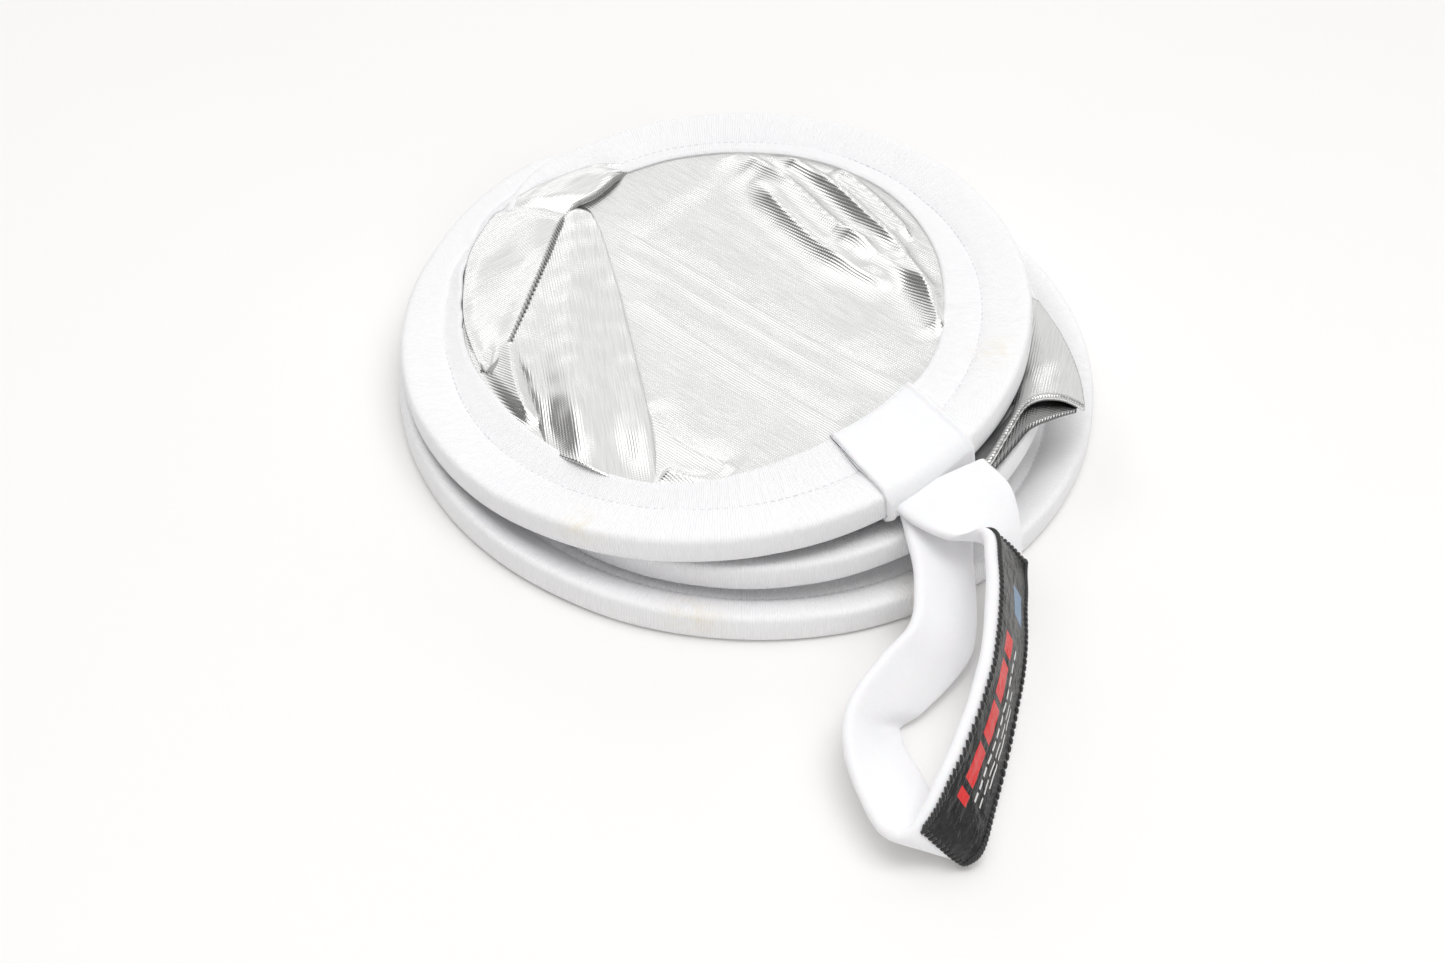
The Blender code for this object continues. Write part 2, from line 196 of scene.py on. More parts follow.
def link_smooth(name, mesh):
    """An object with its faces turned outward and shaded smooth."""
    bm = bmesh.new()
    bm.from_mesh(mesh)
    bmesh.ops.recalc_face_normals(bm, faces=bm.faces)
    bm.to_mesh(mesh)
    bm.free()
    mesh.shade_smooth()
    return link_object(name, mesh)


def mean_distances(points, axis):
    """Distance along a grid of points to each of its rows or columns, on average."""
    step = np.linalg.norm(np.diff(points, axis=axis), axis=2).mean(1 - axis)
    return np.concatenate([[0], np.cumsum(step)])


def grid_object(name, rows, closed=False, fields=None):
    """One surface from rows of points, with its run and across distances as attributes.

    When closed, each row is a ring and both ends are capped.
    """
    points = np.array([[tuple(p) for p in row] for row in rows], float)
    count, width, _ = points.shape
    index = np.arange(count * width).reshape(count, width)
    beside = np.roll(index, -1, axis=1)
    last = width if closed else width - 1
    corners = (index[:-1, :last], beside[:-1, :last], beside[1:, :last], index[1:, :last])
    faces = np.stack(corners, -1).reshape(-1, 4).tolist()
    if closed:
        faces += [index[0][::-1].tolist(), index[-1].tolist()]
    mesh = bpy.data.meshes.new(name)
    mesh.from_pydata(points.reshape(-1, 3).tolist(), [], faces)
    run = mean_distances(points, 0)[:, None] * np.ones((1, width))
    across = mean_distances(points, 1)[None, :] * np.ones((count, 1))
    for field, value in {"run": run, "across": across, **(fields or {})}.items():
        attribute = mesh.attributes.new(field, "FLOAT", "POINT")
        attribute.data.foreach_set("value", np.asarray(value, np.float32).ravel())
    made = link_smooth(name, mesh)
    if closed:
        mesh.set_sharp_from_angle(angle=radians(60))
    return made


def join_solids(name, shapes):
    """One object from many small meshes, each given as (points, faces)."""
    points, faces = [], []
    for shape, sides in shapes:
        base = len(points)
        points += shape
        faces += [[base + i for i in side] for side in sides]
    mesh = bpy.data.meshes.new(name)
    mesh.from_pydata(points, [], faces)
    return link_smooth(name, mesh)


# The rings of a stitch: its place along the thread from -1 to 1, then its size and its
# rise, both as shares of the thread's radius.
STITCH_RINGS = (
    (-1.0, 0.35, -1.0), (-0.7, 0.9, -0.25), (0.0, 1.0, 0.15), (0.7, 0.9, -0.25), (1.0, 0.35, -1.0),
)
STITCH_SIDES = 6


def stitch(centre, along, up, length, radius):
    """A single thread stitch: a short capsule that dives in at both ends."""
    along = along.normalized()
    side = along.cross(up).normalized()
    up = side.cross(along)
    points = []
    for t, size, rise in STITCH_RINGS:
        middle = centre + along * (t * length / 2) + up * (rise * radius)
        for k in range(STITCH_SIDES):
            angle = 2 * pi * k / STITCH_SIDES
            offset = side * cos(angle) + up * sin(angle)
            points.append(tuple(middle + offset * (radius * size)))
    last = STITCH_SIDES * (len(STITCH_RINGS) - 1)
    faces = []
    for a in range(0, last, STITCH_SIDES):
        b = a + STITCH_SIDES
        for k in range(STITCH_SIDES):
            m = (k + 1) % STITCH_SIDES
            faces.append([a + k, a + m, b + m, b + k])
    faces.append(list(range(STITCH_SIDES))[::-1])
    faces.append([last + k for k in range(STITCH_SIDES)])
    return points, faces


def in_metres(points):
    """Points given in millimetres."""
    return [tuple(value / 1000 for value in point) for point in points]


def ripple(point, size, seed):
    """Smooth noise from -1 to 1 at a size in metres."""
    return noise.noise(Vector(point) / size + Vector((seed, seed * 1.7, -seed)))


def flat_ripple(point, size, seed):
    return ripple((point[0], point[1], 0.0), size, seed)


def spline(points, t):
    """A Catmull-Rom curve through points, with t from 0 to 1."""
    spans = len(points) - 1
    t = min(1.0, max(0.0, t))
    k = min(int(t * spans), spans - 1)
    f = t * spans - k
    p = [Vector(points[min(max(k + j, 0), spans)]) for j in (-1, 0, 1, 2)]
    if k == 0:
        p[0] = 2 * p[1] - p[2]
    if k == spans - 1:
        p[3] = 2 * p[2] - p[1]
    return 0.5 * (
        2 * p[1]
        + (p[2] - p[0]) * f
        + (2 * p[0] - 5 * p[1] + 4 * p[2] - p[3]) * f * f
        + (3 * p[1] - p[0] - 3 * p[2] + p[3]) * f**3
    )


# ---- materials ------------------------------------------------------------------------


class Nodes:
    """Short calls for building the node tree of a material or a world."""

    def __init__(self, owner, shader="Principled BSDF"):
        owner.use_nodes = True
        self.owner = owner
        self.tree = owner.node_tree
        self.shader = self.tree.nodes[shader]

    def feed(self, node, inputs):
        """Gives a node's inputs numbers, colours or the outputs of other nodes."""
        for key, value in inputs.items():
            socket = node.inputs[key]
            if isinstance(value, bpy.types.NodeSocket):
                self.tree.links.new(value, socket)
            elif isinstance(value, tuple):
                socket.default_value = (*value, 1.0)
            elif value is not None:
                socket.default_value = value

    def add(self, kind, inputs=None, **settings):
        node = self.tree.nodes.new(kind)
        for key, value in settings.items():
            setattr(node, key, value)
        self.feed(node, inputs or {})
        return node

    def set(self, **inputs):
        """Sets the shader's own inputs."""
        self.feed(self.shader, {key.replace("_", " "): value for key, value in inputs.items()})

    def field(self, name):
        return self.add("ShaderNodeAttribute", attribute_name=name).outputs["Fac"]

    def position(self):
        return self.add("ShaderNodeNewGeometry").outputs["Position"]

    def math(self, operation, a, b=None, clamp=False):
        node = self.add("ShaderNodeMath", {0: a, 1: b}, operation=operation, use_clamp=clamp)
        return node.outputs[0]

    def times(self, a, b):
        return self.math("MULTIPLY", a, b)

    def plus(self, a, b):
        return self.math("ADD", a, b)

    def sine(self, distance, pitch):
        """A wave from -1 to 1 along a distance."""
        return self.math("SINE", self.times(distance, 2 * pi / pitch))

    def noise(self, vector, scale, detail=2.0, roughness=0.5):
        inputs = {"Vector": vector, "Scale": scale, "Detail": detail, "Roughness": roughness}
        return self.add("ShaderNodeTexNoise", inputs).outputs["Fac"]

    def streaks(self, a, a_scale, b, b_scale, detail):
        """Noise with a scale of its own along each of two distances."""
        inputs = {"X": self.times(a, a_scale), "Y": self.times(b, b_scale)}
        return self.noise(self.add("ShaderNodeCombineXYZ", inputs).outputs[0], 1.0, detail)

    def ramp(self, value, *stops):
        """A colour between two stops, each a value and its colour."""
        node = self.add("ShaderNodeValToRGB", {"Fac": value})
        for element, (place, colour) in zip(node.color_ramp.elements, stops):
            element.position = place
            element.color = (*colour, 1.0)
        return node.outputs["Color"]

    def mix(self, share, a, b):
        """A colour between a and b; 0, 6 and 7 are the node's share and colour inputs."""
        return self.add("ShaderNodeMix", {0: share, 6: a, 7: b}, data_type="RGBA").outputs[2]

    def bump(self, height, distance, strength, under=None):
        inputs = {"Height": height, "Distance": distance, "Strength": strength, "Normal": under}
        return self.add("ShaderNodeBump", inputs).outputs["Normal"]


# Pitches of the weaves and knits.
RIM_RIB = 0.00105
SILVER_RIB = 0.0011
SILVER_COURSE = 0.0012
LABEL_WEAVE = 0.0005
# The label's printed rows: their reach across it and along it, the pitch of their bars,
# and how much of the pitch a bar fills.
RED_BARS = (0.006, 0.012, 0.048, 0.128, 0.0205, 0.82)
WHITE_DASHES = (
    (0.015, 0.016, 0.05, 0.124, 0.0062, 0.72),
    (0.0186, 0.0193, 0.066, 0.122, 0.009, 0.8),
    (0.0208, 0.0215, 0.072, 0.112, 0.014, 0.86),
)
BLUE_PATCH = (0.013, 0.021, 0.02, 0.034)
TWIST_SCALE = 900.0  # of the strands in a thread


def new_material(name):
    return Nodes(bpy.data.materials.new(name))


def binding_material():
    """White rim cloth: fine ribs across the rim, faint lavender shade and old stains."""
    n = new_material("rim_cloth")
    run, across = n.field("run"), n.field("across")
    weave = n.plus(n.times(n.sine(run, RIM_RIB), 0.28), n.streaks(run, 900, across, 240, 3))
    cloud = n.noise(n.position(), 16.0, 3)
    shade = n.ramp(cloud, (0.3, (0.942, 0.939, 0.952)), (0.7, (0.968, 0.965, 0.974)))
    ribbed = n.mix(n.times(weave, 0.16), shade, (0.66, 0.65, 0.68))
    blotch = n.times(n.noise(n.position(), 130.0, 4, 0.7), 4.0)
    spots = n.math("MULTIPLY", n.field("stain"), n.math("SUBTRACT", blotch, 1.6), True)
    stained = n.mix(n.times(spots, 0.45), ribbed, (0.88, 0.78, 0.58))
    n.set(Base_Color=stained, Roughness=0.82, Normal=n.bump(weave, 0.0003, 0.9))
    n.set(Sheen_Weight=0.25, Sheen_Roughness=0.5)
    return n.owner


def fleece_material():
    """Brushed white knit with a short fuzzy nap."""
    n = new_material("strap_fleece")
    where = n.position()
    nap = n.noise(where, 1500.0, 4, 0.7)
    tuft = n.noise(where, 320.0, 3, 0.6)
    cloud = n.noise(where, 30.0, 3)
    shade = n.ramp(cloud, (0.3, (0.912, 0.909, 0.925)), (0.7, (0.942, 0.939, 0.951)))
    n.set(Base_Color=n.mix(n.times(nap, 0.08), shade, (0.74, 0.74, 0.8)))
    n.set(Roughness=0.95, Normal=n.bump(n.plus(n.times(nap, 0.5), tuft), 0.00035, 0.7))
    n.set(Sheen_Weight=0.6, Sheen_Roughness=0.4)
    n.set(Subsurface_Weight=0.08, Subsurface_Scale=0.003)
    return n.owner


def silver_material():
    """Metallised knit: bright, with fine ribs along the cloth's grain."""
    n = new_material("silver_knit")
    run, across = n.field("run"), n.field("across")
    wander = n.times(n.streaks(across, 60, run, 25, 2), 0.0012)
    ribs = n.sine(n.plus(across, wander), SILVER_RIB)
    uneven = n.streaks(across, 1200, run, 60, 2)
    height = n.plus(n.times(ribs, 0.36), n.times(uneven, 0.26))
    height = n.plus(height, n.times(n.sine(run, SILVER_COURSE), 0.14))
    crush = n.bump(n.noise(n.position(), 90.0, 3, 0.5), 0.0004, 0.08)
    base = n.ramp(uneven, (0.3, (0.8, 0.805, 0.795)), (0.7, (0.9, 0.9, 0.89)))
    # Painted shade: the painted_shade field darkens the base colour towards grey, standing in for
    # shade and dark reflections.
    base = n.mix(n.times(n.field("painted_shade"), 0.85), base, (0.2, 0.2, 0.2))
    n.set(Base_Color=base, Metallic=1.0, Roughness=n.plus(n.times(uneven, 0.06), 0.215))
    n.set(Normal=n.bump(height, 0.0001, 0.85, crush))
    return n.owner


def label_material():
    """Black satin label with plain printed bars."""
    n = new_material("label_satin")
    run, across = n.field("run"), n.field("across")

    def between(value, low, high):
        return n.times(n.math("GREATER_THAN", value, low), n.math("LESS_THAN", value, high))

    def box(low, high, start, end):
        return n.times(between(across, low, high), between(run, start, end))

    def row(low, high, start, end, pitch, share):
        bars = n.math("LESS_THAN", n.math("FRACT", n.math("DIVIDE", run, pitch)), share)
        return n.times(box(low, high, start, end), bars)

    worn = n.noise(n.position(), 220.0, 4)
    colour = n.ramp(worn, (0.3, (0.008, 0.008, 0.009)), (0.75, (0.022, 0.021, 0.022)))
    colour = n.mix(row(*RED_BARS), colour, (0.72, 0.035, 0.035))
    for dashes in WHITE_DASHES:
        colour = n.mix(row(*dashes), colour, (0.75, 0.74, 0.74))
    colour = n.mix(box(*BLUE_PATCH), colour, (0.16, 0.27, 0.42))
    creases = n.bump(n.streaks(run, 120, across, 210, 3), 0.0028, 0.7)
    n.set(Base_Color=colour, Roughness=0.25)
    n.set(Normal=n.bump(n.sine(run, LABEL_WEAVE), 0.00003, 0.5, creases))
    n.set(Coat_Weight=0.15, Coat_Roughness=0.35)
    return n.owner


def thread_material(name, colour):
    """Twisted thread, with painted shade between its strands."""
    n = new_material(name)
    inputs = {"Vector": n.position(), "Scale": TWIST_SCALE}
    twist = n.add("ShaderNodeTexWave", inputs).outputs["Fac"]
    # Painted shade: the colour is darkened in bands for the grooves between the strands.
    shade = n.mix(n.times(twist, 0.35), colour, tuple(c * 0.6 for c in colour))
    n.set(Base_Color=shade, Roughness=0.6, Normal=n.bump(twist, 0.00008, 0.8))
    n.set(Sheen_Weight=0.3)
    return n.owner


def steel_material():
    n = new_material("spring_steel")
    streak = n.noise(n.position(), 400.0, 3)
    n.set(Base_Color=n.ramp(streak, (0.3, (0.36, 0.37, 0.39)), (0.7, (0.5, 0.51, 0.53))))
    n.set(Metallic=1.0, Roughness=n.plus(n.times(streak, 0.2), 0.25))
    return n.owner


def floor_material():
    n = new_material("studio_floor")
    grain = n.noise(n.position(), 4.0, 2)
    n.set(Base_Color=n.ramp(grain, (0.2, (0.905, 0.897, 0.884)), (0.8, (0.917, 0.909, 0.896))))
    n.set(Roughness=0.9, Specular_IOR_Level=0.1)
    return n.owner


BINDING = binding_material()
FLEECE = fleece_material()
SILVER = silver_material()
LABEL = label_material()
THREAD = thread_material("white_thread", (0.85, 0.85, 0.89))
GREY_THREAD = thread_material("grey_thread", (0.42, 0.42, 0.41))
BLACK_THREAD = thread_material("black_thread", (0.02, 0.02, 0.02))
STEEL = steel_material()


def place_piece(piece, material, body, slot, *nodes):
    """Gives a piece its material and its body, and hides the CAD nodes that it stands for."""
    piece.data.materials.append(material)
    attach(piece, body)
    if nodes:
        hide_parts(*nodes)


# ---- rim binding ----------------------------------------------------------------------

CORNER = 0.0024  # rounding of the sleeve's outer edges
SEAM = 0.021  # the stitched line's distance from the outer wall
SEAM_SHARE = 0.68  # of the binding's depth, where the flange is too narrow for that
SEAM_DIP = 0.0005
SEAM_DIP_WIDTH = 0.0011
NARROW = 0.0048  # the bare sleeve's depth, where strands cross
BARE_EDGE = 0.002  # rounding of the bare sleeve's inner edges
WIDENING = 0.012  # the flange takes its full shape over this much depth
# Top and bottom of the cloth at the seam and at the flange's inner edge, for each loop.
FLANGE = {
    "bottom": (0.0049, 0.0031, 0.005, 0.0032),
    "middle": (0.0077, 0.0057, 0.008, 0.0058),
    "top": (0.0106, 0.0086, 0.0122, 0.0102),
}
# How deep the top loop's flange is all round, in degrees and metres: its hem wanders.
TOP_FLANGE = (
    (-180, 0.0262), (-166, 0.0312), (-157, 0.0339), (-141, 0.0362), (-125, 0.0356),
    (-112, 0.0342), (-101, 0.0336), (-93, 0.035), (-84, 0.038), (-73, 0.0408),
    (-61, 0.0425), (-48, 0.0428), (-35, 0.0398), (-22, 0.0375), (-5, 0.0378), (10, 0.0365),
    (25, 0.0338), (40, 0.0303), (56, 0.0277), (72, 0.0265), (89, 0.0266), (106, 0.0268),
    (150, 0.0262), (180, 0.0262),
)
HEM_SMOOTHING = (-6, -3, 0, 3, 6)  # degrees over which that depth is averaged
# How deep the binding shows, against the angle; None takes the loop's own full depth.
DEPTHS = {
    "bottom": ((100, NARROW), (88, None), (-181, None), (-193, NARROW)),
    "middle": ((118, NARROW), (106, None), (-178, None), (-190, NARROW)),
    "top": (
        (150, NARROW), (140, 0.01), (127, 0.0145), (120, 0.0165), (113, None), (-183, None),
        (-189, 0.0235), (-200, 0.018), (-206, 0.0178), (-216, 0.0135), (-226, 0.014),
        (-233, 0.008), (-239, NARROW),
    ),
}
FULL_DEPTH = {"bottom": 0.029, "middle": 0.026}
NARROW_ANGLE = 150  # where the top loop's binding is a bare sleeve
STATION = 1.1  # degrees between sections
CUT_EASE = 0.1  # degrees left free on each side of that strand's cut
# Faint old stains on two rims: angle, distance in from the wall, height and size.
STAINS = {
    "bottom": ((-97, 0.001, 0.011, 0.011), (-58, 0.002, 0.012, 0.012)),
    "top": ((-112, 0.003, 0.012, 0.008), (-14, 0.012, 0.012, 0.009)),
}
RIM_STITCH = (0.0024, 0.00026)  # length and radius, as for every stitch below
RIM_STITCH_PITCH = 0.0032
RIM_STITCH_LIFT = 0.00005
TOP_STITCHES_FROM = 112
STITCHES_TO = -182  # degrees, on every loop


def full_depth(loop, degrees):
    if loop != "top":
        return FULL_DEPTH[loop]
    turned = (degrees + 180) % 360 - 180
    angles, depths = zip(*TOP_FLANGE)
    near = [np.interp(turned + shift, angles, depths) for shift in HEM_SMOOTHING]
    return sum(near) / len(near)


def rim_depth(loop, degrees):
    stops = [(a, full_depth(loop, degrees) if d is None else d) for a, d in DEPTHS[loop]]
    if degrees >= stops[0][0]:
        return stops[0][1]
    for (a, first), (b, second) in zip(stops, stops[1:]):
        if degrees >= b:
            return part_way(first, second, smooth((a - degrees) / (a - b)))
    return stops[-1][1]


def seam_place(depth):
    return min(SEAM, SEAM_SHARE * depth)


def cover(depth, inward, seam_high, edge_high):
    """Height of one face of the binding from the rim's middle, at a distance inward."""
    seam = seam_place(depth)
    corner = min(inward, CORNER)
    rounding = CORNER - sqrt(max(0.0, CORNER**2 - (CORNER - corner) ** 2))
    edge = min(1.0, (depth - inward) / BARE_EDGE)
    bare = MIDDLE - rounding - BARE_EDGE * (1 - sqrt(max(0.0, 1 - (1 - edge) ** 2)))
    if inward <= CORNER:
        full = MIDDLE - rounding
    elif inward <= seam:
        t = (inward - CORNER) / (seam - CORNER)
        full = part_way(MIDDLE, seam_high, 0.35 * t + 0.65 * t**1.8)
    else:
        full = part_way(seam_high, edge_high, smooth((inward - seam) / (depth - seam)))
    full -= SEAM_DIP * bell(inward - seam, SEAM_DIP_WIDTH)
    return part_way(bare, full, smooth((depth - NARROW) / WIDENING))


def section_stops(depth):
    """Distances inward that the section has points at: close at the corner, seam and hem."""
    seam = seam_place(depth)
    scale = min(1.0, depth / 0.02)
    outer = [v * scale for v in (0.0002, 0.0009, 0.0018, 0.0032, 0.0055, 0.0085)]
    stops = [v for v in outer if v < seam - 0.0035 * scale]
    stops += [0.6 * seam, 0.8 * seam, seam - 0.0018 * scale, seam - 0.0008 * scale, seam]
    stops += [seam + 0.0008 * scale, seam + 0.002 * scale]
    while len(stops) < 13:
        stops.insert(1, (stops[0] + stops[1]) / 2)
    flange = depth - stops[-1]
    stops += [stops[-1] + flange * t for t in (0.3, 0.6, 0.85, 0.95, 0.99)]
    return sorted(stops)


def binding_section(loop, degrees):
    """The binding's outline at an angle, as inward distance and height."""
    depth = rim_depth(loop, degrees)
    seam_high, seam_low, edge_high, edge_low = FLANGE[loop]
    above, below = [], []
    for v in section_stops(depth):
        hem = 0.0003 * bell(depth - v - 0.0016, 0.0011)
        top = MIDDLE + cover(depth, v, seam_high - MIDDLE, edge_high - MIDDLE)
        under = MIDDLE - cover(depth, v, MIDDLE - seam_low, MIDDLE - edge_low)
        pinch = 0.5 * (top - under) * (1 - smooth((depth - v) / 0.0009)) * 0.75
        above.append((v, top + hem - pinch))
        below.append((v, under - hem + pinch))
    wall = []
    for t in (0, 0.25, 0.5, 0.75, 1):
        wall.append((-0.0003 * sin(pi * t), RIM_HEIGHT * (0.82 - 0.64 * t)))
    return above[::-1] + wall + below


def binding_row(loop, degrees, frame_at):
    """The outline set on a frame, with slack in the cloth and puckers along the seam."""
    place, outward, up = frame_at
    row = []
    for inward, high in binding_section(loop, degrees):
        point = place - outward * inward + up * high
        slack = 0.00035 * min(1.0, inward / 0.006) * ripple(point, 0.022, 3.0)
        pucker = 0.00022 * bell(inward - SEAM, 0.004) * ripple(point, 0.0035, 7.0)
        wander = 0.00035 * ripple(point, 0.03, 11.0)
        row.append(point + up * (slack + pucker) + outward * wander)
    return row


def stain_field(rows, loop=None):
    """How stained each point of a rim is, from the soft spots on its loop."""
    points = np.array([[tuple(p) for p in row] for row in rows])
    field = np.zeros(points.shape[:2])
    for degrees, inward, high, size in STAINS.get(loop, ()):
        place, outward, up = circle_frame(loop, degrees)
        distance = np.linalg.norm(points - np.array(place - outward * inward + up * high), axis=2)
        field = np.maximum(field, np.exp(-((distance / size) ** 2)))
    return {"stain": field}


def piece_angles(start, end):
    count = max(4, round(abs(end - start) / STATION))
    return [start + (end - start) * k / count for k in range(count + 1)]


def make_bindings():
    """Each loop's own length; the top loop's strand to the bottom one is cut in two."""
    for loop in ORDER:
        _, arrive, cut = STRANDS[before(loop)]
        start = cut - CUT_EASE if loop == "bottom" else arrive
        leave, _, cut = STRANDS[loop]
        end = cut - (360 - CUT_EASE) if loop == "top" else leave - 360
        rows = [binding_row(loop, a, rim_frame(loop, a)) for a in piece_angles(start, end)]
        piece = grid_object(f"binding_{loop}", rows, True, stain_field(rows, loop))
        place_piece(piece, BINDING, f"{loop}_loop", "binding", f"rim_binding_{loop}")


def make_crossings():
    """The two strands whose loops a joint joins, each as one sleeve of binding."""
    for loop in ("bottom", "middle"):
        leave, arrive, _ = STRANDS[loop]
        rows = []
        for degrees in piece_angles(leave, arrive):
            depth_at = degrees if loop == "middle" else NARROW_ANGLE
            rows.append(binding_row("top", depth_at, strand_frame(loop, degrees)))
        piece = grid_object(f"binding_crossing_{loop}", rows, True, stain_field(rows))
        piece.data.materials.append(BINDING)
        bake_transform(piece)


def make_rim_stitches():
    for loop in ORDER:
        first = TOP_STITCHES_FROM if loop == "top" else DEPTHS[loop][1][0]
        pitch = to_degrees(RIM_STITCH_PITCH / (LOOPS[loop][2] - SEAM))
        seam_high, _, edge_high, _ = FLANGE[loop]
        shapes = []
        for k in range(int((first - STITCHES_TO) / pitch)):
            degrees = first - k * pitch
            depth = rim_depth(loop, degrees)
            seam = seam_place(depth)
            place, outward, up = circle_frame(loop, degrees, pass_by(loop, degrees))
            high = MIDDLE + cover(depth, seam, seam_high - MIDDLE, edge_high - MIDDLE)
            centre = place - outward * seam + up * (high + RIM_STITCH_LIFT)
            shapes.append(stitch(centre, up.cross(outward), up, *RIM_STITCH))
        piece = join_solids(f"rim_stitches_{loop}", shapes)
        place_piece(piece, THREAD, f"{loop}_loop", "thread", f"seam_thread_{loop}")


# ---- silver cloth ---------------------------------------------------------------------

CLOTH = 0.0004
TUCK = 0.002  # how far a panel reaches under the flange
HEM_TURN = radians(185)

STEPS = 110  # rows in a piece of cloth; the main panel has twice as many
MAIN_EDGE = 0.0108  # the main panel's height at its edge, over the top loop's underside
MAIN_SAG = 0.003
MAIN_CALM = 0.06  # the share of the radius over which folds die out at the edge
FOLD_SHARPNESS = 1.25
FOLD_REACH = 0.05  # beyond this a fold counts for nothing
# Folds in the main silver panel, in millimetres from the top loop's centre: points along
# the fold, its height, and its width on its left side and on its right.
FOLDS = (
    (((-54, 69), (-9, 30), (35, -11), (90, -57)), 1.5, 10, 9),
    (((-48, 32), (-7, -12), (36, -54), (60, -75)), 1.4, 10, 11),
    (((-50, 52), (0, 8), (62, -48)), 0.6, 5, 6),
    (((3, 110), (30, 80), (48, 55), (69, 30)), 6.2, 3.4, 11),
    (((20, 106), (47, 79), (65, 54), (82, 30)), 7, 4, 7),
    (((12, 88), (34, 53), (52, 31), (78, 10)), 4, 6.5, 6),
    (((50, 50), (74, 27), (99, 2)), 2.6, 5, 7),
    (((48, 94), (68, 68), (84, 42)), 4.6, 3, 6),
    (((76, 40), (89, 10), (97, -20)), 4.8, 3, 6),
    (((-20, 85), (20, 45), (70, -10)), 1.2, 14, 20),
    (((-30, -50), (-12, -78), (12, -94)), 2.6, 6, 10),
    (((-88.5, -8), (-85, -34), (-76, -66)), 5.2, 5, 9),
    (((-20, -92), (-8, -98), (10, -102)), 3, 3, 6),
)


def from_loop(loop, u, v, high):
    """A point over a loop's plane, from distances to +X and +Y of its centre."""
    centre = LOOPS[loop][0]
    return Vector((centre.x + u, centre.y + v, centre.z + lift(loop, (u, v)) + high))


def line_distance(point, line):
    """Distance to a polyline, the share along it, and which side the point is on."""
    best = (1e9, 0.0, 1.0)
    spans = len(line) - 1
    for k, (a, b) in enumerate(zip(line, line[1:])):
        dx, dy = b[0] - a[0], b[1] - a[1]
        t = ((point[0] - a[0]) * dx + (point[1] - a[1]) * dy) / (dx * dx + dy * dy)
        t = min(1.0, max(0.0, t))
        ox, oy = point[0] - a[0] - t * dx, point[1] - a[1] - t * dy
        distance = hypot(ox, oy)
        if distance < best[0]:
            best = (distance, (k + t) / spans, 1.0 if dx * oy - dy * ox > 0 else -1.0)
    return best


def flat_point(line, t):
    """A point on the smooth curve through a line's flat points."""
    point = spline([(x, y, 0.0) for x, y in line], t)
    return point.x, point.y


def curve_line(points, count=14):
    return [flat_point(points, t) for t in shares(count)]


FOLD_LINES = [(curve_line(in_metres(points)), *in_metres([sizes])[0]) for points, *sizes in FOLDS]


def fold_height(point):
    total = 0.0
    for line, high, left, right in FOLD_LINES:
        distance, along, side = line_distance(point, line)
        if distance > FOLD_REACH:
            continue
        width = left if side > 0 else right
        ends = smooth(along / 0.15) * smooth((1 - along) / 0.15)
        total += high * ends * exp(-((distance / width) ** FOLD_SHARPNESS))
    return total


def main_height(point, share):
    """Height of the main panel, at a share of the way from its middle to its edge."""
    calm = smooth((1 - share) / MAIN_CALM)
    rise = fold_height(point) * (0.25 + 0.75 * calm)
    waves = 0.0005 * flat_ripple(point, 0.034, 2.0) + 0.00009 * flat_ripple(point, 0.009, 5.0)
    return MAIN_EDGE - MAIN_SAG * (1 - share**2) + rise + waves * calm


def grain_fields(rows, grain):
    """Distances along and across the cloth's ribs."""
    angle = radians(grain)
    flat = np.array([[tuple(p)[:2] for p in row] for row in rows])
    run = flat[..., 0] * cos(angle) + flat[..., 1] * sin(angle)
    across = -flat[..., 0] * sin(angle) + flat[..., 1] * cos(angle)
    return {"run": run, "across": across}


def thicken(piece, thick=CLOTH):
    solid = piece.modifiers.new("cloth", "SOLIDIFY")
    solid.thickness = thick
    solid.offset = 0.0


def silver_piece(name, rows, loop, grain, *nodes, painted_shade=None):
    """A sheet of silver cloth on a loop; grain is the angle of its run in degrees."""
    fields = grain_fields(rows, grain)
    # Painted shade: painted_shade, where given, darkens the cloth's colour.
    if painted_shade is not None:
        fields["painted_shade"] = painted_shade
    piece = grid_object(name, rows, fields=fields)
    thicken(piece)
    place_piece(piece, SILVER, f"{loop}_loop", "silver", *nodes)
    return piece


def panel_rows(loop, radius_at, height_at, count):
    """A round panel over a loop, on a square grid bent to its outline."""
    rows = []
    for i in range(count + 1):
        row = []
        for j in range(count + 1):
            x, y = 2 * i / count - 1, 2 * j / count - 1
            a, b = x * sqrt(1 - y * y / 2), y * sqrt(1 - x * x / 2)
            radius = radius_at(to_degrees(atan2(b, a)))
            u, v = radius * a, radius * b
            row.append(from_loop(loop, u, v, height_at((u, v), hypot(a, b))))
        rows.append(row)
    return rows


def main_reach(degrees):
    return LOOPS["top"][2] - full_depth("top", degrees) + TUCK


def make_main_panel():
    rows = panel_rows("top", main_reach, main_height, 2 * STEPS)
    piece = silver_piece("silver_main", rows, "top", -42, "reflector_fabric_top")


# The left-hand cloth, from the top loop's centre: the line where it folds under, and its
# edge at the rim.
LEFT_RIDGE = in_metres([
    (-44.5, 99.5), (-56.5, 83), (-70, 70), (-78.5, 34), (-90, -16), (-96.5, -30),
])
LEFT_RIM = in_metres([
    (-40, 104.5), (-58, 103), (-74, 96), (-90, 85), (-100.5, 73.5), (-108, 57), (-111.5, 41.5),
    (-111.5, 18.5), (-109.5, 2), (-106, -10.5), (-101, -24), (-97.5, -30),
])
LEFT_CREASE = in_metres([(-101, 78), (-86, 73), (-70, 70)])
LEFT_COLUMNS = 46
# Painted shade: how much darker the left-hand cloth's hem is painted, over its first columns.
HEM_PAINTED_SHADE = (0.6, 0.85, 1.0, 1.0, 0.95, 0.8, 0.5, 0.2)
HEM_STITCHES = 100
HEM_STITCH = (0.003, 0.00034)

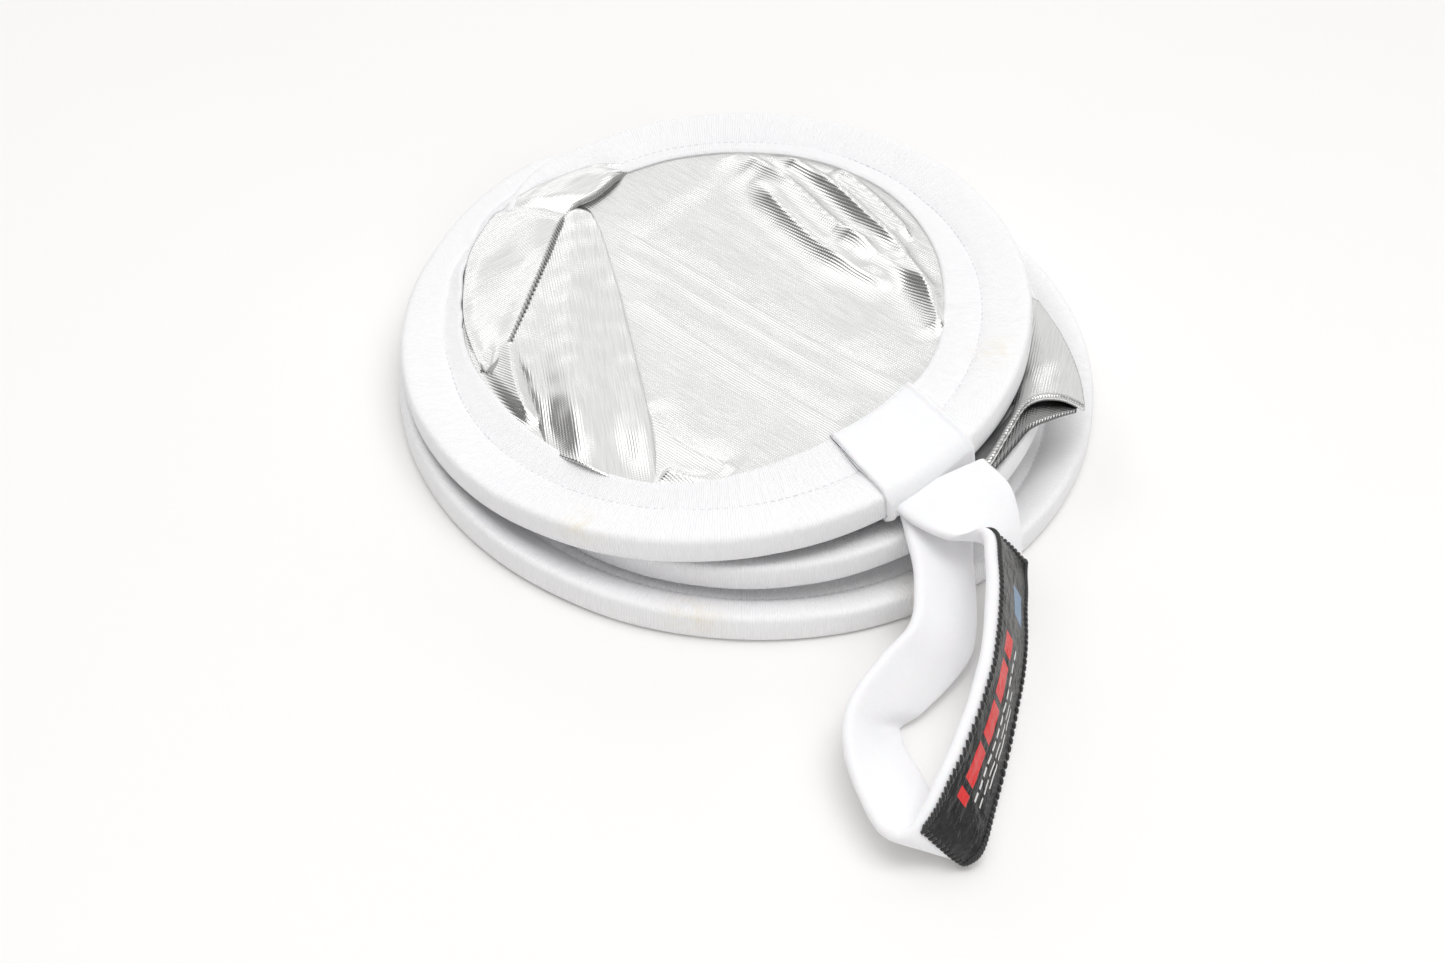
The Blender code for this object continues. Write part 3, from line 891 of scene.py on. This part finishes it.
# The cone-shaped flap's left and right edges.
FLAP_LEFT = in_metres([
    (-68, 75.5), (-74.5, 66), (-82.5, 32), (-89.5, -13), (-85, -34), (-77.5, -62.5),
])
FLAP_EDGE = in_metres([
    (-66.5, 76.5), (-58.5, 70), (-48, 32), (-37, -19), (-28.5, -62), (-22.5, -100.5),
])
FLAP_COLUMNS = 44
FLAP_HIGH = 0.0088
FLAP_BOW = 0.0075


def rolled_edge(point, outward, radius, steps=5, under=0.004):
    """Points that carry a sheet's edge round and back under itself."""
    made = []
    for k in range(1, steps + 1):
        angle = HEM_TURN * k / steps
        drop = UP * (radius * (1 - cos(angle)))
        made.append(point + outward * (radius * sin(angle)) - drop)
    made.append(made[-1] - outward * under + UP * CLOTH)
    return made


def edge_outward(line, t):
    """The level direction to the left of a line, as its points run."""
    a, b = flat_point(line, max(0, t - 0.01)), flat_point(line, min(1, t + 0.01))
    direction = Vector((b[0] - a[0], b[1] - a[1], 0.0)).normalized()
    return Vector((-direction.y, direction.x, 0.0))


def left_height(point, t, s):
    """The left-hand cloth: over the buried strand near the rim, falling to the ridge."""
    hump = 0.003 * sin(pi * t) ** 1.1 * smooth(s / 0.16) * smooth((0.62 - s) / 0.25)
    edge = 0.0122 + 0.0004 * smooth(t) - 0.0022 * (1 - smooth(s / 0.1))
    ridge = 0.001 * (1 - smooth(t / 0.55))
    crease = -0.0016 * bell(line_distance(point, LEFT_CREASE)[0], 0.004)
    waves = 0.0006 * sin(s * 17 + t * 5.0) + 0.0003 * sin(s * 31 - t * 4.0)
    waves *= smooth(t / 0.3) * smooth((1 - t) / 0.2)
    fine = 0.00028 * flat_ripple(point, 0.012, 9.0)
    return edge + hump + ridge + crease + waves + fine * smooth((1 - t) / 0.1)


def make_left_panel():
    rows = []
    for s in shares(STEPS):
        inner, outer = flat_point(LEFT_RIDGE, s), flat_point(LEFT_RIM, s)
        row = []
        for t in shares(LEFT_COLUMNS):
            point = [part_way(a, b, t) for a, b in zip(inner, outer)]
            row.append(from_loop("top", *point, left_height(point, t, s)))
        radius = 0.001 + 0.0002 * sin(s * 9)
        rows.append(rolled_edge(row[0], edge_outward(LEFT_RIDGE, s), radius)[::-1] + row)
    # Painted shade along the folded hem, standing in for its dark reflections.
    painted_shade = np.zeros((len(rows), len(rows[0])))
    painted_shade[:, : len(HEM_PAINTED_SHADE)] = HEM_PAINTED_SHADE
    piece = silver_piece("silver_left", rows, "top", 38, painted_shade=painted_shade)


def ridge_place(s):
    """The folded edge of the left-hand cloth, where its hem is sewn."""
    point = flat_point(LEFT_RIDGE, s)
    return from_loop("top", *point, left_height(point, 0.0, s) + CLOTH / 2)


def make_ridge_stitches():
    """Grey overlock stitches along the left-hand cloth's folded edge."""
    shapes = []
    for s in shares(HEM_STITCHES):
        ahead = (ridge_place(min(1, s + 0.01)) - ridge_place(max(0, s - 0.01))).normalized()
        side = -ahead.cross(UP).normalized()
        centre = ridge_place(s) + side * 0.0007 - UP * 0.0001
        along = side + ahead * 0.6 - UP * 0.35
        shapes.append(stitch(centre, along, UP + side * 0.4, *HEM_STITCH))
    place_piece(join_solids("silver_hem_stitches", shapes), GREY_THREAD, "top_loop", "thread")


def flap_height(point, s, t):
    """The cone-shaped flap: a soft ridge from its tip, swelling towards the rim."""
    low = smooth((s - 0.55) / 0.3)
    swell = 0.003 + 0.006 * smooth(s * 1.1)
    body = swell * sin(pi * min(1.0, 0.12 + 0.7 * t)) ** 0.8
    drop = -0.005 * low * (1 - smooth(t / (0.14 + 0.12 * low)))
    folds = 0.0018 * smooth(s * 1.5 - 0.45) * sin(2 * pi * (2.2 * t + 0.05))
    folds += 0.0009 * smooth(s * 2 - 0.2) * sin(2 * pi * (1.3 * t + 0.6))
    folds *= 1 - 0.6 * smooth((s - 0.9) / 0.1)
    foot = -0.0042 * smooth((s - 0.8) / 0.2)
    return FLAP_HIGH + body + drop + folds + foot + 0.0003 * flat_ripple(point, 0.01, 4.0)


def make_flap():
    rows = []
    for s in shares(STEPS):
        left, right = flat_point(FLAP_LEFT, s), flat_point(FLAP_EDGE, s)
        row = []
        for t in shares(FLAP_COLUMNS):
            bow = -FLAP_BOW * s * s * sin(pi * t)
            u = part_way(left[0], right[0], t) + bow * 0.6
            v = part_way(left[1], right[1], t) + bow * (1.0 if s > 0.5 else 0.6)
            row.append(from_loop("top", u, v, flap_height((u, v), s, t)))
        rows.append(row + rolled_edge(row[-1], edge_outward(FLAP_EDGE, s), 0.0013 + 0.001 * s))
    piece = silver_piece("silver_flap", rows, "top", 100)


LOWER_SAG = {"bottom": 0.0012, "middle": -0.003}  # the height of each panel's middle
LOWER_LIFT = 0.0009  # of its edge over the flange's underside


def lower_height(loop):
    """A height function for a lower loop's panel."""
    lowest, edge = LOWER_SAG[loop], FLANGE[loop][3] + LOWER_LIFT

    def height(point, share):
        wave = 0.0016 * flat_ripple(point, 0.045, 13.0) + 0.0006 * flat_ripple(point, 0.016, 17.0)
        calm = smooth((1 - share) / 0.1)
        return part_way(lowest, edge, share**4) + max(-0.0008, wave) * calm

    return height


def make_lower_panels():
    for loop in ("bottom", "middle"):
        radius = LOOPS[loop][2] - FULL_DEPTH[loop] + TUCK
        rows = panel_rows(loop, lambda _, radius=radius: radius, lower_height(loop), STEPS)
        piece = silver_piece(f"silver_{loop}", rows, loop, -30, f"reflector_fabric_{loop}")


# The slack fold at the right, over the middle rim: its raised front edge, its back, and
# the lip where the cloth under it lies on the rim. All from the bottom loop's centre.
FOLD_FRONT = in_metres([
    (88, -90, 39.5), (99, -85, 42), (108.5, -66, 44), (117.5, -50, 46.2), (131, -45.5, 46),
    (142, -45.5, 42),
])
FOLD_BACK = in_metres([
    (88, 12, 38.5), (96, 16, 39), (104, 18, 40), (112, 19, 42.5), (119, 18.5, 44.5),
    (124.5, 16.5, 44),
])
FOLD_LIP = in_metres([
    (91.5, -90.5, 38.3), (102.3, -85.3, 39), (112.6, -70.1, 40), (119, -60.5, 40.5),
    (129, -54, 40.8), (138.5, -49, 40.5),
])
FOLD_STEPS = 70
FOLD_COLUMNS = 60
FOLD_UNDER_STEPS = 12
FOLD_POCKET = 0.014  # how far the pocket under the front edge reaches back
FOLD_STITCHES = 58
FOLD_STITCH = (0.0022, 0.0002)
FADE_ROWS = 9  # the painted shade on the hem fades out over this many rows


def fold_row(share):
    """One line of the fold's upper layer, from under the top rim out to its tip."""
    row = []
    for t in shares(FOLD_COLUMNS):
        front, back = spline(FOLD_FRONT, t), spline(FOLD_BACK, t)
        bow = Vector((0.0045, 0.0, -0.001)) * (sin(pi * share) * t * t)
        dip = -0.003 * sin(pi * min(1.0, share * 1.6)) * bell(t - 0.42, 0.16)
        swell = 0.0016 * sin(pi * t) * cos(2.2 * pi * share)
        point = front.lerp(back, share) + bow
        fine = 0.0006 * ripple(point, 0.012, 21.0)
        row.append(CENTRE + point + UP * (swell * (1 - 0.5 * share) + dip + fine))
    return row


def fold_underside(first, j):
    """The hem rolled under the front edge, then the layer that swings down to the lip."""
    a, b = first[max(0, j - 1)], first[min(FOLD_COLUMNS, j + 1)]
    direction = (b - a).normalized()
    outward = Vector((direction.y, -direction.x, 0.0)).normalized()
    line = rolled_edge(first[j], outward, 0.0015, 7, 0.002)
    start = line[-1]
    lip = CENTRE + spline(FOLD_LIP, j / FOLD_COLUMNS)
    pocket = (start + lip) / 2 - outward * FOLD_POCKET
    for t in shares(FOLD_UNDER_STEPS)[1:]:
        line.append(start * (1 - t) ** 2 + pocket * (2 * t * (1 - t)) + lip * t**2)
    return line


def fold_painted_shade(count, hidden):
    """Painted shade: dark in the pocket and under the top rim, faint over the rest."""
    # Faint painted shade all over the fold for its darker reflection, and full painted shade on
    # the pocket rows.
    field = np.full((count, FOLD_COLUMNS + 1), 0.16)
    across = np.linspace(0, 1, FOLD_COLUMNS + 1)
    field[: hidden - FADE_ROWS, :] = 1.0
    for k in range(FADE_ROWS):
        field[hidden - FADE_ROWS + k, :] = 0.9 * (1 - k / FADE_ROWS) ** 2
    # Painted shade in the gap under the top rim, where the rim shades the fold.
    gap = np.clip((0.6 - across) / 0.16, 0, 1)
    field[hidden + 2 :, :] = np.maximum(field[hidden + 2 :, :], gap)
    return field


def make_fold_stitches(edge):
    """Grey overlock stitches along the fold's front edge."""
    shapes = []
    for j in range(1, FOLD_STITCHES + 1):
        ahead = (edge[j + 1] - edge[j - 1]).normalized()
        side = ahead.cross(UP).normalized()
        centre = edge[j] + side * 0.0003 + UP * (CLOTH / 2)
        shapes.append(stitch(centre, side + ahead * 0.5, UP, *FOLD_STITCH))
    piece = join_solids("silver_fold_stitches", shapes)
    place_piece(piece, GREY_THREAD, "middle_loop", "thread")


def make_right_fold():
    """Slack cloth hanging out over the middle rim, its hem rolled back under."""
    first = fold_row(0.0)
    under = [fold_underside(first, j) for j in range(FOLD_COLUMNS + 1)]
    rows = [list(line) for line in zip(*under)][::-1]
    hidden = len(rows)
    rows += [fold_row(share) for share in shares(FOLD_STEPS)]
    painted_shade = fold_painted_shade(len(rows), hidden)
    piece = silver_piece("silver_fold", rows, "middle", 80, "fabric_fold", painted_shade=painted_shade)
    make_fold_stitches(first)


# ---- cuff and strap -------------------------------------------------------------------

CUFF_ANGLE = -47.6
CUFF_HALF = 9.8  # degrees
CUFF_STEPS = 48
CUFF_WRAP = 0.0016
CUFF_EASE = 0.0005  # between the cuff and the binding
CUFF_REACH = 0.0436  # how far in its upper face reaches
CUFF_NARROWS = 0.0014  # from one side to its middle, and as much again to the other
CUFF_UNDER = 0.029  # how far in its lower face reaches


def cuff_path(reach):
    """The way round the rim: distance inward, and level from 1 on top to -1 below."""
    stops = [reach - v for v in (0.0, 0.0008, 0.002, 0.005)]
    stops += [0.034, 0.03, 0.0255, 0.022, 0.018, 0.014, 0.01, 0.0065, 0.0035, 0.0015, 0.0003]
    path = [(v, 1) for v in stops] + [(-0.0006, level) for level in (0.7, 0.35, 0.0, -0.35, -0.7)]
    return path + [(v, -1) for v in stops[::-1] if v < CUFF_UNDER]


def cuff_face(inward, level, depth, grow):
    """Height of the cuff from the rim's middle, on top of the flange or under it."""
    seam_high, seam_low, edge_high, edge_low = FLANGE["top"]
    high, edge = (seam_high, edge_high) if level > 0 else (seam_low, edge_low)
    deep = max(depth, inward + 0.001)
    rise = cover(deep, inward, abs(high - MIDDLE), (edge - MIDDLE) * level)
    drape = 0.0008 * smooth((inward - 0.012) / 0.006) * smooth((0.036 - inward) / 0.008)
    return level * (rise + grow + drape)


def cuff_line(degrees, side, wrap):
    """One face of the cuff round the rim; wrap is its height over the face beneath."""
    reach = CUFF_REACH - CUFF_NARROWS * (1 + side)
    grow = CUFF_EASE + wrap
    points = []
    for inward, level in cuff_path(reach):
        turn = 0.0 if inward < 0 else inward * (0.5 + 3.7 * (side + 1)) / 0.042
        place, outward, up = circle_frame("top", degrees + turn)
        if abs(level) < 1:
            point = place + outward * (0.0004 + grow) + up * (MIDDLE + level * MIDDLE)
        else:
            v = max(0.0, inward)
            end = (1 - smooth((v - reach + 0.0015) / 0.0015)) if level > 0 and wrap else 1.0
            high = cuff_face(v, level, full_depth("top", degrees + turn), grow * end)
            point = place - outward * v + up * (MIDDLE + high)
        points.append(point + up * (0.0005 * ripple(point, 0.014, 31.0) if wrap else 0.0))
    return points


def cuff_row(degrees, side):
    """The cuff's outline round the top rim; side runs from -1 to 1 across its width."""
    hem = 0.0007 * smooth((abs(side) - 0.86) / 0.06) * (1 - smooth((abs(side) - 0.97) / 0.03))
    wrap = CUFF_WRAP + hem + 0.0006 * side * side
    return cuff_line(degrees, side, wrap) + cuff_line(degrees, side, 0.0)[::-1]


def make_cuff():
    sides = [2 * k / CUFF_STEPS - 1 for k in range(CUFF_STEPS + 1)]
    rows = [cuff_row(CUFF_ANGLE + CUFF_HALF * side, side) for side in sides]
    piece = grid_object("cuff", rows, True)
    place_piece(piece, FLEECE, "top_loop", "fleece", "handle_cuff")


# The strap's run, from the cuff down its right side, round the tip and back: the top and
# bottom edges at each place, in millimetres from the bottom loop's centre.
STRAP_RUN = (
    ((60, -111, 43), (98.5, -88, 48)),
    ((70, -121.5, 43), (109, -100, 45)),
    ((84.5, -130, 45), (113.5, -114, 35)),
    ((96.5, -129, 49.2), (114.2, -128.5, 21.5)),
    ((99, -144, 47.8), (115.2, -140, 15.5)),
    ((98.5, -172, 43), (115.5, -165, 10)),
    ((92, -206, 37), (110.5, -199, 5.5)),
    ((79, -241, 29), (102.5, -237, 3.2)),
    ((68, -260, 20), (95, -259, 2.8)),
    ((57.5, -260.5, 17.8), (86, -253, 2.6)),
    ((48, -243, 20.5), (74.5, -222, 2.6)),
    ((43, -221, 23.8), (66.5, -202, 2.8)),
    ((45, -202, 25.5), (75.5, -187, 3)),
    ((57, -180, 27), (87.5, -171, 4)),
    ((69, -162, 29), (95.5, -156, 6.5)),
    ((70.5, -140, 33), (96.5, -138, 11)),
    ((66.5, -120, 37), (95, -118, 23)),
    ((64, -110, 38), (95, -100, 33)),
)
STRAP_TOPS, STRAP_BOTTOMS = (in_metres(points) for points in zip(*STRAP_RUN))
STRAP_THICK = 0.005
STRAP_PUFF = 0.0005
STRAP_STEPS = 190
STRAP_EDGE_SIDES = 6
STRAP_FACE_SIDES = 14
BUCKLE = 0.0048
BUCKLE_AT = 0.675  # of the run


def strap_frame(t):
    """The strap's top edge, its direction down the width, its width and outward normal."""
    top, bottom = spline(STRAP_TOPS, t), spline(STRAP_BOTTOMS, t)
    step = 0.004
    ahead = spline(STRAP_TOPS, t + step) + spline(STRAP_BOTTOMS, t + step)
    ahead = ahead - spline(STRAP_TOPS, t - step) - spline(STRAP_BOTTOMS, t - step)
    down = (bottom - top).normalized()
    normal = ahead.cross(down).normalized()
    return CENTRE + top, down, (bottom - top).length, normal


def strap_section(width):
    """A flat band with full soft edges: distance down from the top edge, and out."""
    half, flat = STRAP_THICK / 2, width - STRAP_THICK
    points = []
    for turn, start, way in ((0.5, half, 1), (-0.5, width - half, -1)):
        for k in range(STRAP_EDGE_SIDES + 1):
            angle = pi * (turn + k / STRAP_EDGE_SIDES)
            points.append((start + half * cos(angle), half * sin(angle)))
        for k in range(1, STRAP_FACE_SIDES):
            points.append((start + way * flat * k / STRAP_FACE_SIDES, -way * half))
    return points


def strap_puff(share):
    """The band is fullest along its middle; share runs down its width."""
    return STRAP_PUFF * sin(pi * min(1.0, max(0.0, share)))


def strap_wave(point, t, share):
    """Soft waves in the cloth, and one buckle low on the slack left run."""
    buckle = BUCKLE * bell(t - BUCKLE_AT, 0.016) * bell(share - 1.0, 0.42)
    return 0.0007 * ripple(point, 0.018, 41.0) + buckle


def make_strap():
    rows = []
    for t in shares(STRAP_STEPS):
        top, down, width, normal = strap_frame(t)
        row = []
        for a, b in strap_section(width):
            point = top + down * a + normal * b
            out = copysign(strap_puff(a / width), b) + strap_wave(point, t, a / width)
            row.append(point + normal * out)
        rows.append(row)
    piece = grid_object("strap", rows, True)
    piece.data.materials.append(FLEECE)
    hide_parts("handle_strap", "handle_collar")
    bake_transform(piece)


LABEL_SPAN = (0.163, 0.474)  # of the strap's run
LABEL_SLANT = (-0.006, 0.02)
LABEL_TOP = 0.0042
LABEL_WIDTH = 0.0265
LABEL_THICK = 0.0006
LABEL_LIFT = 0.0004
LABEL_COLUMNS = 22
LONG_STITCHES = 58  # along each long edge
SHORT_STITCHES = 11
LONG_STITCH = (0.004, 0.00082)
SHORT_STITCH = (0.0036, 0.0008)
STITCH_LIFT = 0.001
STITCH_SLANT = 0.55


def label_point(t, down_by, out):
    """A place over the strap's outer face, a distance down from its top edge."""
    top, down, width, normal = strap_frame(t)
    point = top + down * down_by + normal * (STRAP_THICK / 2)
    rise = strap_wave(point, t, down_by / width) + strap_puff(down_by / width) + out
    return point + normal * rise, normal, down


def label_share(k, down_by, count):
    """Place along the strap's run, with both of the label's ends cut on a slant."""
    down = (down_by - LABEL_TOP) / LABEL_WIDTH
    start = LABEL_SPAN[0] - 0.01 * (1 - down)
    slant = part_way(*LABEL_SLANT, down)
    return start + (LABEL_SPAN[1] + slant - start) * k / count


def make_label():
    rows = []
    for k in range(STEPS + 1):
        row = []
        for j in range(LABEL_COLUMNS + 1):
            by = LABEL_TOP + LABEL_WIDTH * j / LABEL_COLUMNS
            crinkle = 0.00025 * ripple((k * 0.6, j * 0.25, 0.0), 1.6, 5.0)
            out = LABEL_LIFT + LABEL_THICK / 2 + crinkle
            row.append(label_point(label_share(k, by, STEPS), by, out)[0])
        rows.append(row)
    piece = grid_object("label", rows)
    thicken(piece, LABEL_THICK)
    place_piece(piece, LABEL, "handle", "label", "label_patch")


def make_label_stitches():
    """Overlock stitches over all four edges of the label, slanted like a laid cord."""
    shapes = []
    for k in range(LONG_STITCHES + 1):
        for by in (LABEL_TOP, LABEL_TOP + LABEL_WIDTH):
            t = label_share(k, by, LONG_STITCHES)
            ahead = label_point(t + 0.004, by, 0)[0] - label_point(t - 0.004, by, 0)[0]
            centre, normal, down = label_point(t, by, STITCH_LIFT)
            along = down * STITCH_SLANT + ahead.normalized()
            shapes.append(stitch(centre, along, normal, *LONG_STITCH))
    for k in (0, LONG_STITCHES):
        for j in range(SHORT_STITCHES):
            by = LABEL_TOP + LABEL_WIDTH * (j + 0.5) / SHORT_STITCHES
            t = label_share(k, by, LONG_STITCHES)
            centre, normal, down = label_point(t, by, STITCH_LIFT)
            along = normal.cross(down) * STITCH_SLANT + down
            shapes.append(stitch(centre, along, normal, *SHORT_STITCH))
    piece = join_solids("label_stitches", shapes)
    nodes = ("label_stitching_upper", "label_stitching_lower")
    place_piece(piece, BLACK_THREAD, "handle", "black_thread", *nodes)


def dress_steel():
    """The steel keeps its CAD shape and gets a better material."""
    for name in (*(f"spring_band_{loop}" for loop in ORDER), "band_joint_sleeve"):
        for slot in bpy.data.objects[name].material_slots:
            slot.material = STEEL


# ---- studio ---------------------------------------------------------------------------

CAMERA_PLACE = (-0.0086, -1.0897, 1.0253)  # from the bottom loop's centre
CAMERA_TILT = 44.84
CAMERA_ROLL = 2.54
LENS = 85.0
SENSOR = 36.0
FLOOR_SIDE = 6.0
FLOOR_DROP = 0.0003
SKY = 0.92
SKY_COLOUR = (1.0, 0.998, 0.995)
# Darker stretches of the studio: direction, where the fade starts and ends as a cosine,
# and how dark it gets.
DARK_PATCHES = (
    ((-0.9, 0.08, 0.38), 0.8, 0.93, 0.82),
    ((0.15, -0.6, 0.8), 0.8, 0.95, 0.5),
    ((0.95, 0.1, 0.3), 0.82, 0.95, 0.72),
    ((0.05, 0.72, 0.69), 0.8, 0.97, 0.07),
    ((0.1, -1.00, 0.12), 0.3, 0.95, 0.6),
)
# Soft lights: place, target, size and energy.
LIGHTS = {
    "overhead": ((0.3, -0.3, 1.9), (0, 0, 0), (1.5, 1.0), 15.0),
    "back": ((-0.3, 2.0, 0.75), (0, 0, 0.03), (1.6, 0.22), 1.8),
    "left": ((-0.9, 0.5, 1.5), (0, 0, 0.03), (0.8, 0.8), 2.2),
    "front": ((0.6, -1.9, 1.4), (0, -0.1, 0.03), (1.6, 1.0), 6.5),
}


def make_camera():
    data = bpy.data.cameras.new("camera")
    data.lens = LENS
    data.sensor_width = SENSOR
    camera = link_object("camera", data)
    camera.location = CENTRE + Vector(CAMERA_PLACE)
    tilt = Matrix.Rotation(radians(90 - CAMERA_TILT), 4, "X")
    roll = Matrix.Rotation(radians(CAMERA_ROLL), 4, "Z")
    camera.rotation_euler = (tilt @ roll).to_euler()
    bpy.context.scene.camera = camera


def make_lights():
    for name, (place, target, size, energy) in LIGHTS.items():
        data = bpy.data.lights.new(name, "AREA")
        data.shape = "RECTANGLE"
        data.size, data.size_y = size
        data.energy = energy
        light = link_object(name, data)
        light.location = place
        way = Vector(target) - Vector(place)
        light.rotation_euler = way.to_track_quat("-Z", "Y").to_euler()


def make_world():
    """A white studio with a few darker stretches of ceiling and wall between its lights."""
    n = Nodes(bpy.data.worlds.new("studio"), "Background")
    bpy.context.scene.world = n.owner
    direction = n.add("ShaderNodeTexCoord").outputs["Generated"]
    level = SKY
    for towards, start, end, depth in DARK_PATCHES:
        inputs = {0: direction, 1: Vector(towards).normalized()}
        cosine = n.add("ShaderNodeVectorMath", inputs, operation="DOT_PRODUCT").outputs["Value"]
        inputs = {"Value": cosine, "From Min": start, "From Max": end, "To Max": 1 - depth}
        inputs["To Min"] = 1.0
        fade = n.add("ShaderNodeMapRange", inputs, interpolation_type="SMOOTHSTEP")
        level = n.times(level, fade.outputs[0])
    n.set(Color=SKY_COLOUR, Strength=level)


def make_floor():
    side = FLOOR_SIDE
    corners = [(-side, -side, 0), (side, -side, 0), (side, side, 0), (-side, side, 0)]
    mesh = bpy.data.meshes.new("floor")
    mesh.from_pydata(corners, [], [[0, 1, 2, 3]])
    mesh.materials.append(floor_material())
    floor = link_object("floor", mesh)
    floor.location.z = -FLOOR_DROP


make_bindings()
make_crossings()
make_rim_stitches()
make_main_panel()
make_left_panel()
make_ridge_stitches()
make_flap()
make_lower_panels()
make_right_fold()
make_cuff()
make_strap()
make_label()
make_label_stitches()
dress_steel()
make_floor()
make_world()
make_lights()
make_camera()
bpy.context.scene.view_settings.view_transform = "Standard"
